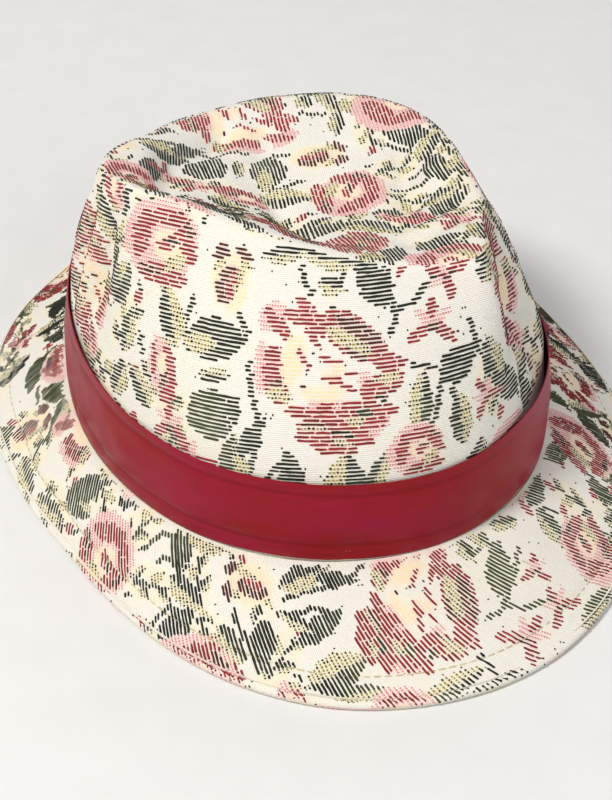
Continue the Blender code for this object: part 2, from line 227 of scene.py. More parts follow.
def fold(x, y, start, end, rise, half_width):
    """A straight fold between two points that fades out towards both ends."""
    run = np.array(end, float) - np.array(start, float)
    length = math.hypot(*run)
    along = ((x - start[0]) * run[0] + (y - start[1]) * run[1]) / length ** 2
    across = ((x - start[0]) * run[1] - (y - start[1]) * run[0]) / length
    fade = np.clip(1 - (2 * np.abs(along - 0.5)) ** 4, 0, 1)
    fade = np.where(np.abs(along - 0.5) < 0.5, fade, 0)
    return rise * fade * bell(across / half_width)


def pinch(azimuth, height):
    """How far the side band is pressed in at a height above the join."""
    depth = 0
    for top, low, middle, deepest, half_width, half_height in PINCHES:
        share = np.clip(height / (middle * MM), 0, 1)
        centre = low + (top - low) * share
        across = bell(wrap(azimuth - centre) / half_width)
        up = bell((height - middle * MM) / (half_height * MM))
        depth = depth + deepest * MM * across * up
    return depth * np.clip(height / PINCHES_START, 0, 1)


def wall_relief(azimuth, height):
    """Creases, folds and unevenness of the side band above the ribbon."""
    x = wrap(azimuth) * WALL_ARC
    y = height / MM
    total = WALL_UNEVENNESS * waves(x, y, 28, 60, 3)
    for (azimuth_0, height_0), (azimuth_1, height_1), rise, half_width in WALL_FOLDS:
        start = (azimuth_0 * WALL_ARC, height_0)
        end = (azimuth_1 * WALL_ARC, height_1)
        total = total + fold(x, y, start, end, rise, half_width)
    return total * MM * np.clip((y - FLAT_BELOW) / FOLDS_START, 0, 1)


def tip_relief(x, y, share):
    """Folds and unevenness of the tip."""
    x = x / MM
    y = y / MM
    total = TIP_UNEVENNESS * waves(x, y, 18, 46, 4)
    for start, end, rise, half_width in TIP_FOLDS:
        total = total + fold(x, y, start, end, rise, half_width)
    return total * MM * (1 - share ** 10)


def wall_radius(azimuth, height):
    """Distance from the axis to the outside of the side band, at a height above the join."""
    rim_height = around(RIM, 2, azimuth)
    start = oval(azimuth) - RIBBON_TAPER - GAP
    share = np.clip((height - RIBBON_HEIGHT) / (rim_height - RIBBON_HEIGHT), 0, 1)
    centre, straighter, half_width = STRAIGHTER_SIDE
    bow = WALL_BOW - straighter * bell(wrap(azimuth - centre) / half_width)
    above = start - (start - around(RIM, 1, azimuth)) * share ** bow
    below = oval(azimuth) - (RIBBON_TAPER + GAP) * height / RIBBON_HEIGHT
    radius = np.where(height > RIBBON_HEIGHT, above, below)
    return radius - pinch(azimuth, height) + wall_relief(azimuth, height)


def tip_points(azimuth, share):
    """The upper face of the tip: share 1 is the rim and 0 is the lowest point of the dent."""
    rim_height = around(RIM, 2, azimuth)
    rim = polar(azimuth, around(RIM, 1, azimuth), 0)
    middle = np.array([DENT_X, DENT_Y, 0])
    points = middle + (rim - middle) * share[..., None]
    bowl = share ** 2 * (1.6 - 0.6 * share ** 2)
    height = DENT_FLOOR + (rim_height - DENT_FLOOR) * bowl
    height = height + tip_relief(points[..., 0], points[..., 1], share)
    points[..., 2] = JOIN_TOP + height
    return points


def grid_normals(grid, closed=True):
    """Outward directions of a grid whose rows run round the hat, one for each point."""
    along = np.gradient(grid, axis=0)
    if closed:
        across = np.roll(grid, -1, axis=1) - np.roll(grid, 1, axis=1)
    else:
        across = np.gradient(grid, axis=1)
    return unit(np.cross(across, along))


def smooth_rows(grid, middle, reach, times):
    """Rounds a grid off across its rows, most at one row and not at all beyond a reach from it."""
    distance = np.abs(np.arange(len(grid)) - middle)
    share = np.clip(1 - distance / reach, 0, 1)[:, None, None]
    for _ in range(times):
        mean = grid.copy()
        mean[1:-1] = (grid[:-2] + 2 * grid[1:-1] + grid[2:]) / 4
        grid = grid + (mean - grid) * share
    return grid


class Surface:
    """A grid of points with its outward directions, whose rows run round the hat.

    It is a strip whose ends meet at the back, or a cap: a closed ring whose last row closes on a point.
    """

    def __init__(self, points, directions, cap=False):
        self.points = points
        self.directions = directions
        self.cap = cap


def crown_surface():
    """The outside of the crown, from the bottom of the join over the rim to the dent, and the rim's row."""
    rim_height = around(RIM, 2, AZIMUTH)
    low = np.linspace(-BRIM_STACK, RIBBON_HEIGHT, WALL_LOW_ROWS, endpoint=False)[:, None] + 0 * AZIMUTH
    share = np.linspace(0, 1, WALL_HIGH_ROWS)[:, None]
    high = RIBBON_HEIGHT + (rim_height - RIBBON_HEIGHT) * share
    height = np.concatenate([low, high])
    azimuths = np.broadcast_to(AZIMUTH, height.shape)
    wall = polar(azimuths, wall_radius(azimuths, height), JOIN_TOP + height)
    shares = np.linspace(1, 0, TIP_ROWS + 2)[1:-1][:, None] + 0 * AZIMUTH
    tip = tip_points(np.broadcast_to(AZIMUTH, shares.shape), shares)
    grid = np.concatenate([wall, tip])
    rim_row = len(wall) - 1
    return smooth_rows(grid, rim_row, *RIM_ROUNDING), rim_row


AZIMUTH = -180 + np.arange(COLUMNS) * 360 / COLUMNS
CROWN, RIM_ROW = crown_surface()
CROWN_DIRECTIONS = grid_normals(CROWN)


def brim_base(azimuth):
    """The underside of the brim from the crown to where its edge starts to turn up."""
    width = around(BRIM_EDGE, 1, azimuth)
    edge = np.clip(around(BRIM_EDGE, 2, azimuth), 0, None)
    start = oval(azimuth) + 2 * GAP
    end = oval(azimuth) + width - BRIM_LAND
    share = np.linspace(0, 1, BRIM_ROWS)[:, None]
    fall = share ** 1.25 * (1.3 - 0.3 * share)
    radius = start + (end - start) * share
    arc = azimuth * BRIM_ARC + 0 * share
    sway = BRIM_SWAY * waves(arc, radius / MM, 30, 70, 8) * np.sin(math.pi * share) ** 0.7
    slope = polar(azimuth, radius, JOIN_BOTTOM + (edge - JOIN_BOTTOM) * fall + sway)
    land_share = np.linspace(0, 1, 4)[1:, None]
    flat = polar(azimuth, end + (BRIM_LAND - BRIM_STACK / 2) * land_share, edge + 0 * land_share)
    grid = np.concatenate([slope, flat])
    return smooth_rows(grid, BRIM_ROWS - 1, *BRIM_ROUNDING)


def brim_surfaces(azimuth):
    """The brim's upper face, from its edge to the crown, and its lower face, from the crown to its edge."""
    base = brim_base(azimuth)
    up = -grid_normals(base, closed=False)
    up[0] = up[-1] = (0, 0, 1)
    outward = polar(azimuth, np.ones_like(azimuth), 0)
    half = BRIM_STACK / 2
    middle = base[-1] + up[-1] * half
    turns = np.linspace(0.04, math.pi / 2, EDGE_ROWS, endpoint=False)
    round_up = [middle + half * (outward * math.cos(t) + up[-1] * math.sin(t)) for t in turns]
    round_down = [middle + half * (outward * math.cos(t) - up[-1] * math.sin(t)) for t in turns]
    top = base + up * BRIM_STACK
    upper = np.concatenate([np.array(round_up), top[::-1]])
    lower = np.concatenate([base, np.array(round_down)[::-1]])
    return base, up, upper, lower


def sew_groove(points, directions, inset, depth, half_width, from_last):
    """Presses a line of stitching into a face, at a distance from its first or last row."""
    order = points[::-1] if from_last else points
    steps = np.linalg.norm(np.diff(order, axis=0), axis=-1)
    distance = np.concatenate([np.zeros((1, order.shape[1])), np.cumsum(steps, axis=0)])
    if from_last:
        distance = distance[::-1]
    press = depth * bell((distance - inset) / half_width)
    return points - directions * press[..., None]


def line_at(points, directions, inset):
    """The line on a face at a distance from its first row, and the face's directions there."""
    distance = lengths_along(points, 0)
    both = np.concatenate([points, directions], axis=-1)
    columns = range(points.shape[1])
    line = np.array([[np.interp(inset, distance[:, c], both[:, c, i]) for i in range(6)] for c in columns])
    return line[:, :3], line[:, 3:]


def closed_ring(values):
    """Adds the column that closes a ring of rows."""
    return np.concatenate([values, values[:, :1]], axis=1)


def open_seam(points):
    """Opens the seam at the back, between the first column and the last, by a hair."""
    points[:, 0, 0] -= SEAM_GAP / 2
    points[:, -1, 0] += SEAM_GAP / 2
    return points


def open_at_back(ring):
    """A ring of rows as a strip whose ends meet at the back."""
    return open_seam(closed_ring(ring))


SIDE_POINTS = open_at_back(CROWN[: RIM_ROW + 1])
SIDE_DIRECTIONS = closed_ring(CROWN_DIRECTIONS[: RIM_ROW + 1])


def grid_faces(rows, columns, closed, start=0, flip=False):
    """Corner numbers of the four-sided faces of a grid whose corners are numbered along its rows."""
    corners = start + np.arange(rows * columns).reshape(rows, columns)
    following = np.roll(corners, -1, axis=1)
    if not closed:
        corners, following = corners[:, :-1], following[:, :-1]
    faces = np.stack([corners[:-1], following[:-1], following[1:], corners[1:]], axis=-1).reshape(-1, 4)
    return faces[:, ::-1] if flip else faces


def strip_faces(first, second, closed):
    """Faces that join two lines of corner numbers."""
    count = len(first)
    here = np.arange(count if closed else count - 1)
    after = (here + 1) % count
    return np.stack([first[here], second[here], second[after], first[after]], axis=-1)


def new_mesh(name, points, quads, triangles=None):
    """A mesh object from arrays of points in the crown's own frame and of corner numbers."""
    mesh = bpy.data.meshes.new(name)
    triangles = np.zeros((0, 3), int) if triangles is None else triangles
    corners = np.concatenate([quads.ravel(), triangles.ravel()]).astype(np.int32)
    counts = np.concatenate([np.full(len(quads), 4), np.full(len(triangles), 3)])
    starts = np.concatenate([[0], np.cumsum(counts)[:-1]]).astype(np.int32)
    mesh.vertices.add(len(points))
    mesh.vertices.foreach_set("co", (points + AXIS).astype(np.float32).ravel())
    mesh.loops.add(len(corners))
    mesh.loops.foreach_set("vertex_index", corners)
    mesh.polygons.add(len(counts))
    mesh.polygons.foreach_set("loop_start", starts)
    mesh.update(calc_edges=True)
    mesh.validate()
    mesh.shade_smooth()
    mesh.set_sharp_from_angle(angle=math.radians(50))
    thing = bpy.data.objects.new(name, mesh)
    bpy.context.scene.collection.objects.link(thing)
    return thing


def set_cloth_map(thing, coordinates):
    """Gives each point its place on the flat cloth, in metres, for the weave."""
    mesh = thing.data
    corners = np.zeros(len(mesh.loops), np.int32)
    mesh.loops.foreach_get("vertex_index", corners)
    layer = mesh.uv_layers.new(name="cloth")
    layer.data.foreach_set("uv", coordinates[corners].astype(np.float32).ravel())


def set_colours(thing, name, values):
    made = thing.data.color_attributes.new(name=name, type="FLOAT_COLOR", domain="POINT")
    made.data.foreach_set("color", values.astype(np.float32).ravel())


def cloth_layer(name, surface, thickness, depth=0.0, coordinates=None):
    """A closed layer of cloth that lies between two depths under a surface."""
    if np.ndim(depth):
        depth = depth[..., None]
    outer = surface.points - surface.directions * depth
    inner = outer - surface.directions * thickness
    rows, columns = outer.shape[:2]
    points = np.concatenate([outer.reshape(-1, 3), inner.reshape(-1, 3)])
    count = rows * columns
    numbers = np.arange(count).reshape(rows, columns)
    quads = [
        grid_faces(rows, columns, surface.cap),
        grid_faces(rows, columns, surface.cap, count, flip=True),
        strip_faces(numbers[0], numbers[0] + count, surface.cap),
    ]
    triangles = None
    if surface.cap:
        centre = outer[-1].mean(axis=0)
        under = centre - np.array([0, 0, thickness])
        points = np.concatenate([points, [centre, under]])
        here = numbers[-1]
        after = np.roll(here, -1)
        top = np.stack([here, after, np.full(columns, 2 * count)], axis=-1)
        bottom = np.stack([after + count, here + count, np.full(columns, 2 * count + 1)], axis=-1)
        triangles = np.concatenate([top, bottom])
    else:
        quads.append(strip_faces(numbers[-1] + count, numbers[-1], False))
        quads.append(strip_faces(numbers[:, 0] + count, numbers[:, 0], False))
        quads.append(strip_faces(numbers[:, -1], numbers[:, -1] + count, False))
    thing = new_mesh(name, points, np.concatenate(quads), triangles)
    if coordinates is None:
        coordinates = ring_coordinates(surface)
    flat = coordinates.reshape(-1, 2)
    flat = np.concatenate([flat, flat])
    if surface.cap:
        flat = np.concatenate([flat, [coordinates[-1].mean(axis=0)] * 2])
    set_cloth_map(thing, flat)
    return thing, flat


def lengths_along(points, axis):
    """Distance from the first row or column, along the surface."""
    steps = np.linalg.norm(np.diff(points, axis=axis), axis=-1)
    first = np.zeros_like(np.take(steps, [0], axis=axis))
    return np.concatenate([first, np.cumsum(steps, axis=axis)], axis=axis)


def ring_coordinates(surface):
    """Cloth coordinates of a plain strip: along its middle row, and across it."""
    middle = len(surface.points) // 2
    along = lengths_along(surface.points[middle: middle + 1], 1)
    across = lengths_along(surface.points, 0)
    return np.stack(np.broadcast_arrays(along, across), axis=-1)


# How far the side band's flat cut bends: the share of a full turn that it takes as a flat ring
SIDE_CUT_TURN = 0.3
# How the weft lies on the brim: azimuth, and angle from straight outwards in degrees
BRIM_GRAIN = [
    (-180, 30), (-130, 12), (-90, 12), (-70, 26), (-45, 34), (-12, 27), (8, 24), (22, 42), (38, 42),
    (67, 14), (90, 4), (130, -8), (180, -20),
]


def side_coordinates(points):
    """Places on the flat cloth of the side band, which is cut as part of a ring with its grain straight."""
    arc = lengths_along(points[:1], 1)
    perimeter = arc[0, -1]
    turn = (arc / perimeter - 0.5) * 2 * math.pi * SIDE_CUT_TURN
    bottom = perimeter / (2 * math.pi * SIDE_CUT_TURN)
    radius = bottom - lengths_along(points, 0)
    return np.stack([radius * np.sin(turn), bottom - radius * np.cos(turn)], axis=-1)


def tip_coordinates(points):
    """Places on the flat cloth of the tip, whose weft runs from front to back."""
    rim = points[0] - np.array([DENT_X, DENT_Y, 0])
    heading = np.arctan2(rim[:, 0], -rim[:, 1])
    inward = lengths_along(points, 0)
    radius = inward[-1] * 1.02 - inward
    return np.stack([-radius * np.cos(heading), radius * np.sin(heading)], axis=-1)


def brim_coordinates(azimuth, points):
    """Places on the flat cloth of the brim, from rows that run outwards from the crown."""
    grain = np.radians(np.interp(azimuth, *zip(*BRIM_GRAIN)))
    kernel = np.hanning(61) / np.hanning(61).sum()
    grain = np.convolve(np.pad(grain, 30, mode="edge"), kernel, mode="valid")
    middle = points[len(points) // 2]
    steps = np.linalg.norm(np.diff(middle, axis=0), axis=-1)
    mean = (grain[1:] + grain[:-1]) / 2
    along = np.concatenate([[0], np.cumsum(steps * np.sin(mean))])
    across = np.concatenate([[0], np.cumsum(steps * np.cos(mean))])
    outward = lengths_along(points, 0)
    return np.stack([along + outward * np.cos(grain), across - outward * np.sin(grain)], axis=-1)


# The tapestry's repeat in millimetres: u runs along the floats, and v across them, one row for each float.
# The pattern is worked out in small steps of u, and its edges are ragged from row to row
YARN_PITCH = 1.27
REPEAT_U = 176.0
REPEAT_ROWS = 110
REPEAT_V = REPEAT_ROWS * YARN_PITCH
PATTERN_STEP = 0.2
PATTERN_RAGGED = 0.45
GROUND, DARK, RED, BROWN, GOLD, PINK, PEACH, HONEY = range(8)

# Motifs as overlapping ellipses: middle (mm), half-length, half-width, turn in degrees, yarn
ROSE = [
    (-18.5, 20, 6, 4.5, 60, PINK), (-22, 3, 9, 2.5, 90, PINK), (13.5, -16, 5, 3.5, 60, PINK),
    (-17.3, 0.8, 10.5, 4.4, 95, RED), (-15.4, -2.7, 4, 1.5, 0, BROWN), (-16, -6.2, 4.6, 2.2, -10, GOLD),
    (-16.5, 17.5, 7, 2.6, -50, RED), (-10.6, 20.5, 4.4, 2.4, -20, RED), (-5.6, 21, 8, 3, -60, RED),
    (-2.5, 19.5, 6, 2.2, -10, RED), (-11.5, 6, 9.2, 4.2, 80, PEACH), (-5.2, 13.5, 4.6, 1.2, -55, RED),
    (-8.4, 6.2, 4.6, 1.0, -65, RED), (5.5, 21, 6, 2.5, -15, RED), (2, 22.8, 3, 1.3, 0, DARK),
    (8.5, 13.6, 13, 6.6, -38, RED), (7, 11.8, 9.5, 2.8, -36, GOLD), (10.6, 15.6, 9.4, 2.6, -34, BROWN),
    (10.6, 6.6, 7, 1.3, -30, BROWN), (0.8, 5.8, 4.8, 1.1, -14, RED), (1.2, 2.4, 4.6, 2, 0, PEACH),
    (0.4, -0.5, 4.4, 1, -8, RED), (7, 1.2, 2.4, 1, -10, RED), (-6.5, -2.7, 3.6, 0.9, -5, BROWN),
    (11.2, -0.6, 2.6, 3, 0, PINK), (18.4, 4.8, 6.6, 3.2, -15, RED), (16.4, -3.2, 7.6, 4.4, 20, RED),
    (18, -1.2, 4.6, 1.7, 0, GOLD), (-2.7, -5, 8.6, 2.7, 0, PEACH), (5.4, -3.2, 3.2, 1.1, -25, RED),
    (3, -11.4, 18, 3.6, 0, RED), (2.3, -15.8, 14.4, 3.8, 2, RED), (0.6, -20.6, 12.6, 3.4, -4, RED),
    (1, -24.4, 7.2, 2, -6, RED), (-5.8, -9, 2.2, 1, 0, PINK), (2, -9.2, 2, 0.8, 0, PINK),
    (9.6, -12, 2.8, 1.3, 0, DARK), (3.2, -18.6, 3.8, 1.1, -12, DARK), (-6.5, -15.6, 4.4, 1, -8, BROWN),
    (-5.8, -17.2, 5.2, 1, -6, GOLD), (6.8, -14.6, 3.2, 1.4, 0, GOLD), (2.6, -22, 3.4, 1.2, -10, GOLD),
    (15.8, -7.4, 1.8, 1.3, 0, DARK),
]
SMALL_ROSE = [
    (-2, 2, 13.5, 12, 20, PINK), (-8, 3, 8, 3.2, 75, RED), (0, 9, 8, 2.6, 5, RED), (7, 3, 7.5, 3, -65, RED),
    (0, -8, 9.5, 3.6, 0, RED), (0.5, 1, 5, 4.4, 0, PEACH), (1, 1.5, 4, 2, 20, RED),
    (4, -4, 4.5, 2.2, 30, GOLD), (-4, -7.4, 4, 1.2, -10, BROWN), (2, 2.2, 2, 1, 0, DARK),
    (7.5, 6.5, 3, 1.4, -50, BROWN),
]
OPEN_BUD = [
    (-1.4, 1, 9.8, 4.2, 96, PINK), (2.6, 3, 7, 2, 105, RED), (-3.6, 3, 6, 1.1, 92, RED),
    (1.2, -5.4, 5, 3, 60, RED), (0.4, -2, 3.4, 1.5, 70, BROWN), (1.6, 9.4, 3.4, 1.1, -10, GOLD),
    (-0.4, 2.4, 3.6, 1.5, 95, PEACH),
]
GOLDEN_BUD = [
    (0, 0, 11.5, 8, 95, PEACH), (-1, -2, 7.4, 4, 80, BROWN), (1.6, -1, 6, 2.4, 70, RED),
    (3.6, 1, 5, 1.4, 80, GOLD), (-5, 5, 3, 1.6, 60, GOLD), (-4.4, 9, 3.8, 2.6, 40, BROWN),
    (4.6, 10, 4, 2.4, -40, BROWN), (6, 6, 3, 1.4, 0, GOLD),
]
STAR_FLOWER = [
    (0, 3, 3.4, 1.3, 90, RED), (2.6, -1, 3.4, 1.3, -35, RED), (-2.6, -1, 3.4, 1.3, 215, RED),
    (2, 2.4, 2.6, 0.9, 30, PINK), (-2, 2, 2.6, 0.9, 140, PINK), (0, 0, 1.4, 1, 0, BROWN),
]

# Where each flower sits in the repeat: place (mm), turn in degrees, size
FLOWERS = [
    (ROSE, 0, 0, 0, 0.9), (SMALL_ROSE, -54, 32, 0, 1.0), (GOLDEN_BUD, -31, 27, 0, 0.85),
    (OPEN_BUD, -52, -5, 0, 1.0), (STAR_FLOWER, 28, 34, 20, 1.1), (STAR_FLOWER, 32, 12, -10, 1.5),
    (STAR_FLOWER, 40, 26, 60, 1.3), (SMALL_ROSE, 25, -25, 10, 0.66), (STAR_FLOWER, -50, -22, 0, 1.3),
    (STAR_FLOWER, -42, -31, 40, 1.3), (ROSE, 74, 14, 160, 0.86), (SMALL_ROSE, 52, 52, 120, 0.95),
    (SMALL_ROSE, 62, -42, -60, 1.15), (GOLDEN_BUD, 92, -24, 70, 0.85), (OPEN_BUD, 96, 48, 200, 1.0),
    (SMALL_ROSE, -8, 62, 80, 1.25), (STAR_FLOWER, 20, 58, 0, 1.3), (GOLDEN_BUD, -34, -50, 150, 0.8),
    (OPEN_BUD, 8, -52, 60, 0.9), (SMALL_ROSE, -64, -46, 200, 0.95), (STAR_FLOWER, 48, -14, 30, 1.2),
    (STAR_FLOWER, 84, 62, 15, 1.4),
]

# Leaves: middle (mm), half-length, half-width, turn in degrees, yarns of the two halves
LEAVES = [
    (-34, 9, 10.5, 6.5, 12, DARK, DARK), (-39.5, 6.6, 6, 3, 10, GOLD, GOLD),
    (-34, -2, 5.5, 2.4, 10, GOLD, DARK), (-34.5, -13.5, 10, 7.6, 35, DARK, DARK),
    (-12.5, 37.5, 9, 2.9, 12, DARK, GOLD), (3, 36, 10, 3.3, -10, DARK, GOLD),
    (-4.5, 42.5, 5.4, 3, 0, GOLD, GOLD), (2, 28, 4.6, 3.4, -20, DARK, GOLD),
    (15, 29.5, 10, 5, 112, DARK, DARK), (38.8, -0.4, 7.4, 5.4, 35, DARK, DARK),
    (25.6, -9, 10, 3.6, 78, GOLD, DARK), (38, -17, 9.6, 3.8, 98, DARK, GOLD),
    (-29, -29, 11, 4.6, 84, DARK, GOLD), (-12, -31, 9.6, 3.9, 95, DARK, DARK),
    (3, -33, 10.5, 6.2, 88, GOLD, DARK), (12, -31, 8, 3, 70, DARK, GOLD),
    (-62, -12, 7.6, 4, 125, DARK, GOLD), (-50, 13, 9, 4.6, 104, DARK, GOLD),
    (-71, 18, 8.4, 4.6, 60, GOLD, DARK), (-67, 4, 8, 3.6, 75, DARK, GOLD),
    (-23, -19, 8, 2.6, 60, DARK, DARK), (-17, -38, 7, 2.4, 40, DARK, GOLD),
    (54, 30, 10, 4.6, 60, DARK, GOLD), (62, 36, 8, 4, 20, DARK, DARK), (92, 34, 11, 5, -50, DARK, GOLD),
    (100, 20, 9, 4.6, -80, DARK, DARK), (52, -4, 10, 4.6, 110, DARK, GOLD),
    (60, -14, 9.4, 5, -30, DARK, DARK), (78, -14, 10, 4, 20, GOLD, DARK), (76, -26, 9, 5, -60, DARK, DARK),
    (44, -34, 9, 4, 70, DARK, GOLD), (46, -52, 10, 4.6, 30, DARK, DARK), (80, -46, 9, 5, 60, DARK, DARK),
    (90, -60, 10, 4.6, 10, DARK, GOLD), (66, -62, 8, 4, -20, DARK, DARK), (30, 66, 9, 4, 60, DARK, DARK),
    (36, 52, 9, 4.6, -30, DARK, GOLD), (68, 52, 9, 4.6, 80, DARK, DARK), (70, 66, 8, 4, 10, DARK, GOLD),
    (100, 64, 9, 4.4, 60, DARK, DARK), (-28, 60, 10, 5, 120, DARK, DARK), (-38, 66, 9, 4, 40, DARK, GOLD),
    (-52, 66, 9, 5, -10, DARK, DARK), (-70, 62, 8, 4, 70, GOLD, DARK), (-74, 46, 9, 4.6, 100, DARK, DARK),
    (-14, -52, 9, 4.6, -30, DARK, DARK), (-18, -62, 8, 4, 20, DARK, GOLD),
    (24, -46, 9, 4.4, -60, DARK, DARK), (26, -62, 8, 4.4, 10, DARK, GOLD),
    (-48, -38, 9, 4.4, 20, DARK, DARK), (-52, -62, 10, 4.6, 60, DARK, GOLD),
    (-76, -30, 9, 4.4, 120, DARK, DARK), (-72, -12, 8, 4, 60, DARK, GOLD), (14, 46, 7, 3, 30, DARK, GOLD),
]

# Stems: points (mm) that each one runs through
STEMS = [
    [(-24, 12), (-29, 20), (-27, 27)], [(-24, 4), (-22, -8), (-21, -20), (-24, -30), (-26, -40)],
    [(-6, 40), (-10, 44), (-20, 46), (-30, 44)], [(-8, 35), (-7, 30), (-4, 25)], [(6, 34), (5, 28)],
    [(20, 40), (21, 28), (21, 16), (18, 12)], [(21, 19), (28, 21), (36, 28)], [(24, 2), (31, 0)],
    [(33, -4), (30, -12), (28, -20)], [(35, -7), (37, -12)],
    [(-12, -24), (-18, -30), (-21, -42), (-26, -46)], [(-60, -2), (-63, 8), (-62, 20)],
    [(-44, 4), (-45, 12), (-42, 20)], [(-54, -14), (-51, -19)], [(50, 22), (56, 24), (62, 30)],
    [(84, 30), (90, 40), (96, 42)], [(56, -2), (58, -10), (66, -20), (76, -22)],
    [(44, -42), (52, -46), (58, -54), (70, -60)], [(84, -30), (80, -38), (76, -52)],
    [(28, 56), (34, 60), (44, 60)], [(58, 60), (64, 60), (80, 66), (96, 66)], [(8, 58), (14, 62), (26, 62)],
    [(-24, 62), (-34, 60), (-46, 60)], [(0, -44), (-8, -50), (-16, -56), (-28, -58)],
    [(14, -54), (22, -56), (32, -54)], [(-50, -50), (-44, -44)], [(-78, -20), (-70, -24), (-62, -32)],
    [(-70, 40), (-72, 52), (-64, 60)], [(44, 12), (46, 2), (48, -8)],
]
# Five wavy blades side by side, of which the second and the fourth start lower
for u, low in ((-34, 0), (-42, 1), (-50, 0), (-58, 1), (-66, 0)):
    STEMS.append([(u, 44 - 2 * low), (u + 3, 51 - low), (u - 1, 58), (u + 2, 66), (u - 2, 74)])
# Half the width of a stem, and how far each straight part of it runs past its points (mm)
STEM_HALF_WIDTH = 0.95
STEM_OVERRUN = 0.3

# Sprigs that fill the ground away from the great rose: how many across and along the repeat, how far they
# stray from an even spacing (mm), and the square round the rose that stays free of them (its half-side, mm)
SPRIGS_ACROSS = 8
SPRIGS_ALONG = 7
SPRIG_STRAY = 4.0
ROSE_GROUND = 46.0
# One sprig as leaves round its middle, like the leaves above
SPRIG = [
    (0, 0.5, 13.0, 6.5, 0, HONEY, HONEY), (0, 0, 9.5, 0.8, 0, DARK, DARK),
    (-6.5, 2.6, 3.8, 1.7, 38, GOLD, DARK), (-2.4, -2.8, 4.0, 1.8, -36, DARK, GOLD),
    (2.0, 2.8, 3.8, 1.7, 34, GOLD, GOLD), (6.0, -2.4, 3.4, 1.6, -30, DARK, GOLD),
    (10.5, 0.6, 2.6, 1.8, 0, RED, RED),
]


def repeat_offset(u, v, place_u, place_v):
    """How far points lie from a place in the repeat, the shorter way round it."""
    du = (u - place_u + REPEAT_U / 2) % REPEAT_U - REPEAT_U / 2
    dv = (v - place_v + REPEAT_V / 2) % REPEAT_V - REPEAT_V / 2
    return du, dv


def turned(du, dv, degrees):
    c = math.cos(math.radians(degrees))
    s = math.sin(math.radians(degrees))
    return du * c + dv * s, dv * c - du * s


def sprig_leaves():
    """The leaves of all the sprigs, in rows that stand between each other."""
    random = np.random.default_rng(14)
    leaves = []
    for row in range(SPRIGS_ALONG):
        for column in range(SPRIGS_ACROSS):
            stray = random.uniform(-SPRIG_STRAY, SPRIG_STRAY, 2)
            turn = random.uniform(0, 360)
            u = ((column + row % 2 / 2) / SPRIGS_ACROSS - 0.5) * REPEAT_U + stray[0]
            v = (row / SPRIGS_ALONG - 0.5) * REPEAT_V + stray[1]
            if max(abs(u), abs(v)) < ROSE_GROUND:
                continue
            for du, dv, half_length, half_width, angle, upper, lower in SPRIG:
                along, across = turned(du, dv, -turn)
                leaves.append((u + along, v + across, half_length, half_width, angle + turn, upper, lower))
    return leaves


def weave_repeat():
    """The yarn on the face at each point of the repeat: one row for each weft, points PATTERN_STEP apart."""
    random = np.random.default_rng(11)
    rows = (np.arange(REPEAT_ROWS)[:, None] - REPEAT_ROWS // 2) * YARN_PITCH
    steps = np.arange(0, REPEAT_U, PATTERN_STEP)[None, :] - REPEAT_U / 2
    ragged = random.normal(0, PATTERN_RAGGED, (REPEAT_ROWS, 1))
    u = np.broadcast_to(steps, (REPEAT_ROWS, steps.shape[1])) + ragged
    v = np.broadcast_to(rows, u.shape)
    yarns = np.zeros(u.shape, np.int8)
    for points in STEMS:
        for (u0, v0), (u1, v1) in zip(points, points[1:]):
            length = math.hypot(u1 - u0, v1 - v0)
            heading = math.degrees(math.atan2(v1 - v0, u1 - u0))
            du, dv = repeat_offset(u, v, (u0 + u1) / 2, (v0 + v1) / 2)
            along, across = turned(du, dv, heading)
            on_stem = (np.abs(along) < length / 2 + STEM_OVERRUN) & (np.abs(across) < STEM_HALF_WIDTH)
            yarns[on_stem] = DARK
    for place_u, place_v, half_length, half_width, turn, upper, lower in sprig_leaves() + LEAVES:
        du, dv = repeat_offset(u, v, place_u, place_v)
        along, across = turned(du, dv, turn)
        share = np.clip(along / half_length, -1, 1)
        edge = half_width * (1 - share ** 2) ** 0.8 * (1 - 0.25 * share)
        yarns[(across >= 0) & (across < edge)] = upper
        yarns[(across < 0) & (-across < edge)] = lower
    for ellipses, place_u, place_v, turn, size in FLOWERS:
        du, dv = repeat_offset(u, v, place_u, place_v)
        du, dv = turned(du, dv, turn)
        for middle_u, middle_v, half_length, half_width, angle, yarn in ellipses:
            along, across = turned(du / size - middle_u, dv / size - middle_v, angle)
            inside = (along / half_length) ** 2 + (across / half_width) ** 2 < 1
            yarns[inside] = yarn
    return yarns


# Floats: the yarn's width, how far it stands out of the cloth, and how far its sides lie in it
YARN_WIDTH = 0.9 * MM
YARN_RISE = 0.26 * MM
YARN_SINK = 0.06 * MM
# How wide the flat top of a yarn is, as a share of its width
YARN_FLATNESS = 0.45
# Each float's mesh, in millimetres of cloth: the space between its rings, how long its ends taper, and the
# length under which it has one full ring only; its width at the ends as a share; and how far its rings stray
# (mm) and differ in width (as a share)
RING_STEP = 2.2
FLOAT_TAPER = 0.32
SHORT_TICK = 1.2
FLOAT_END_SHARE = 0.45
FLOAT_STRAY = 0.05
YARN_UNEVENNESS = 0.16
# Lengths of the floats of each yarn, the shortest of all, and the space between two in a row (mm)
FLOAT_LENGTHS = {DARK: (9, 24), RED: (3, 9), BROWN: (3, 9), GOLD: (0.45, 1.0), PINK: (0.45, 0.6)}
SHORTEST_FLOAT = 0.45
FLOAT_SPACE = 0.35
# Widths of the yarns as shares of the full width, in the order of the yarns' materials below
YARN_SHARES = {DARK: 1.0, RED: 0.92, BROWN: 0.95, GOLD: 0.78, PINK: 0.6}
# The share of dark ticks among the gold ones, and the stray dark specks in the ground of one repeat
GOLD_TICK_DARK_SHARE = 0.42
SPECKS_IN_REPEAT = 260

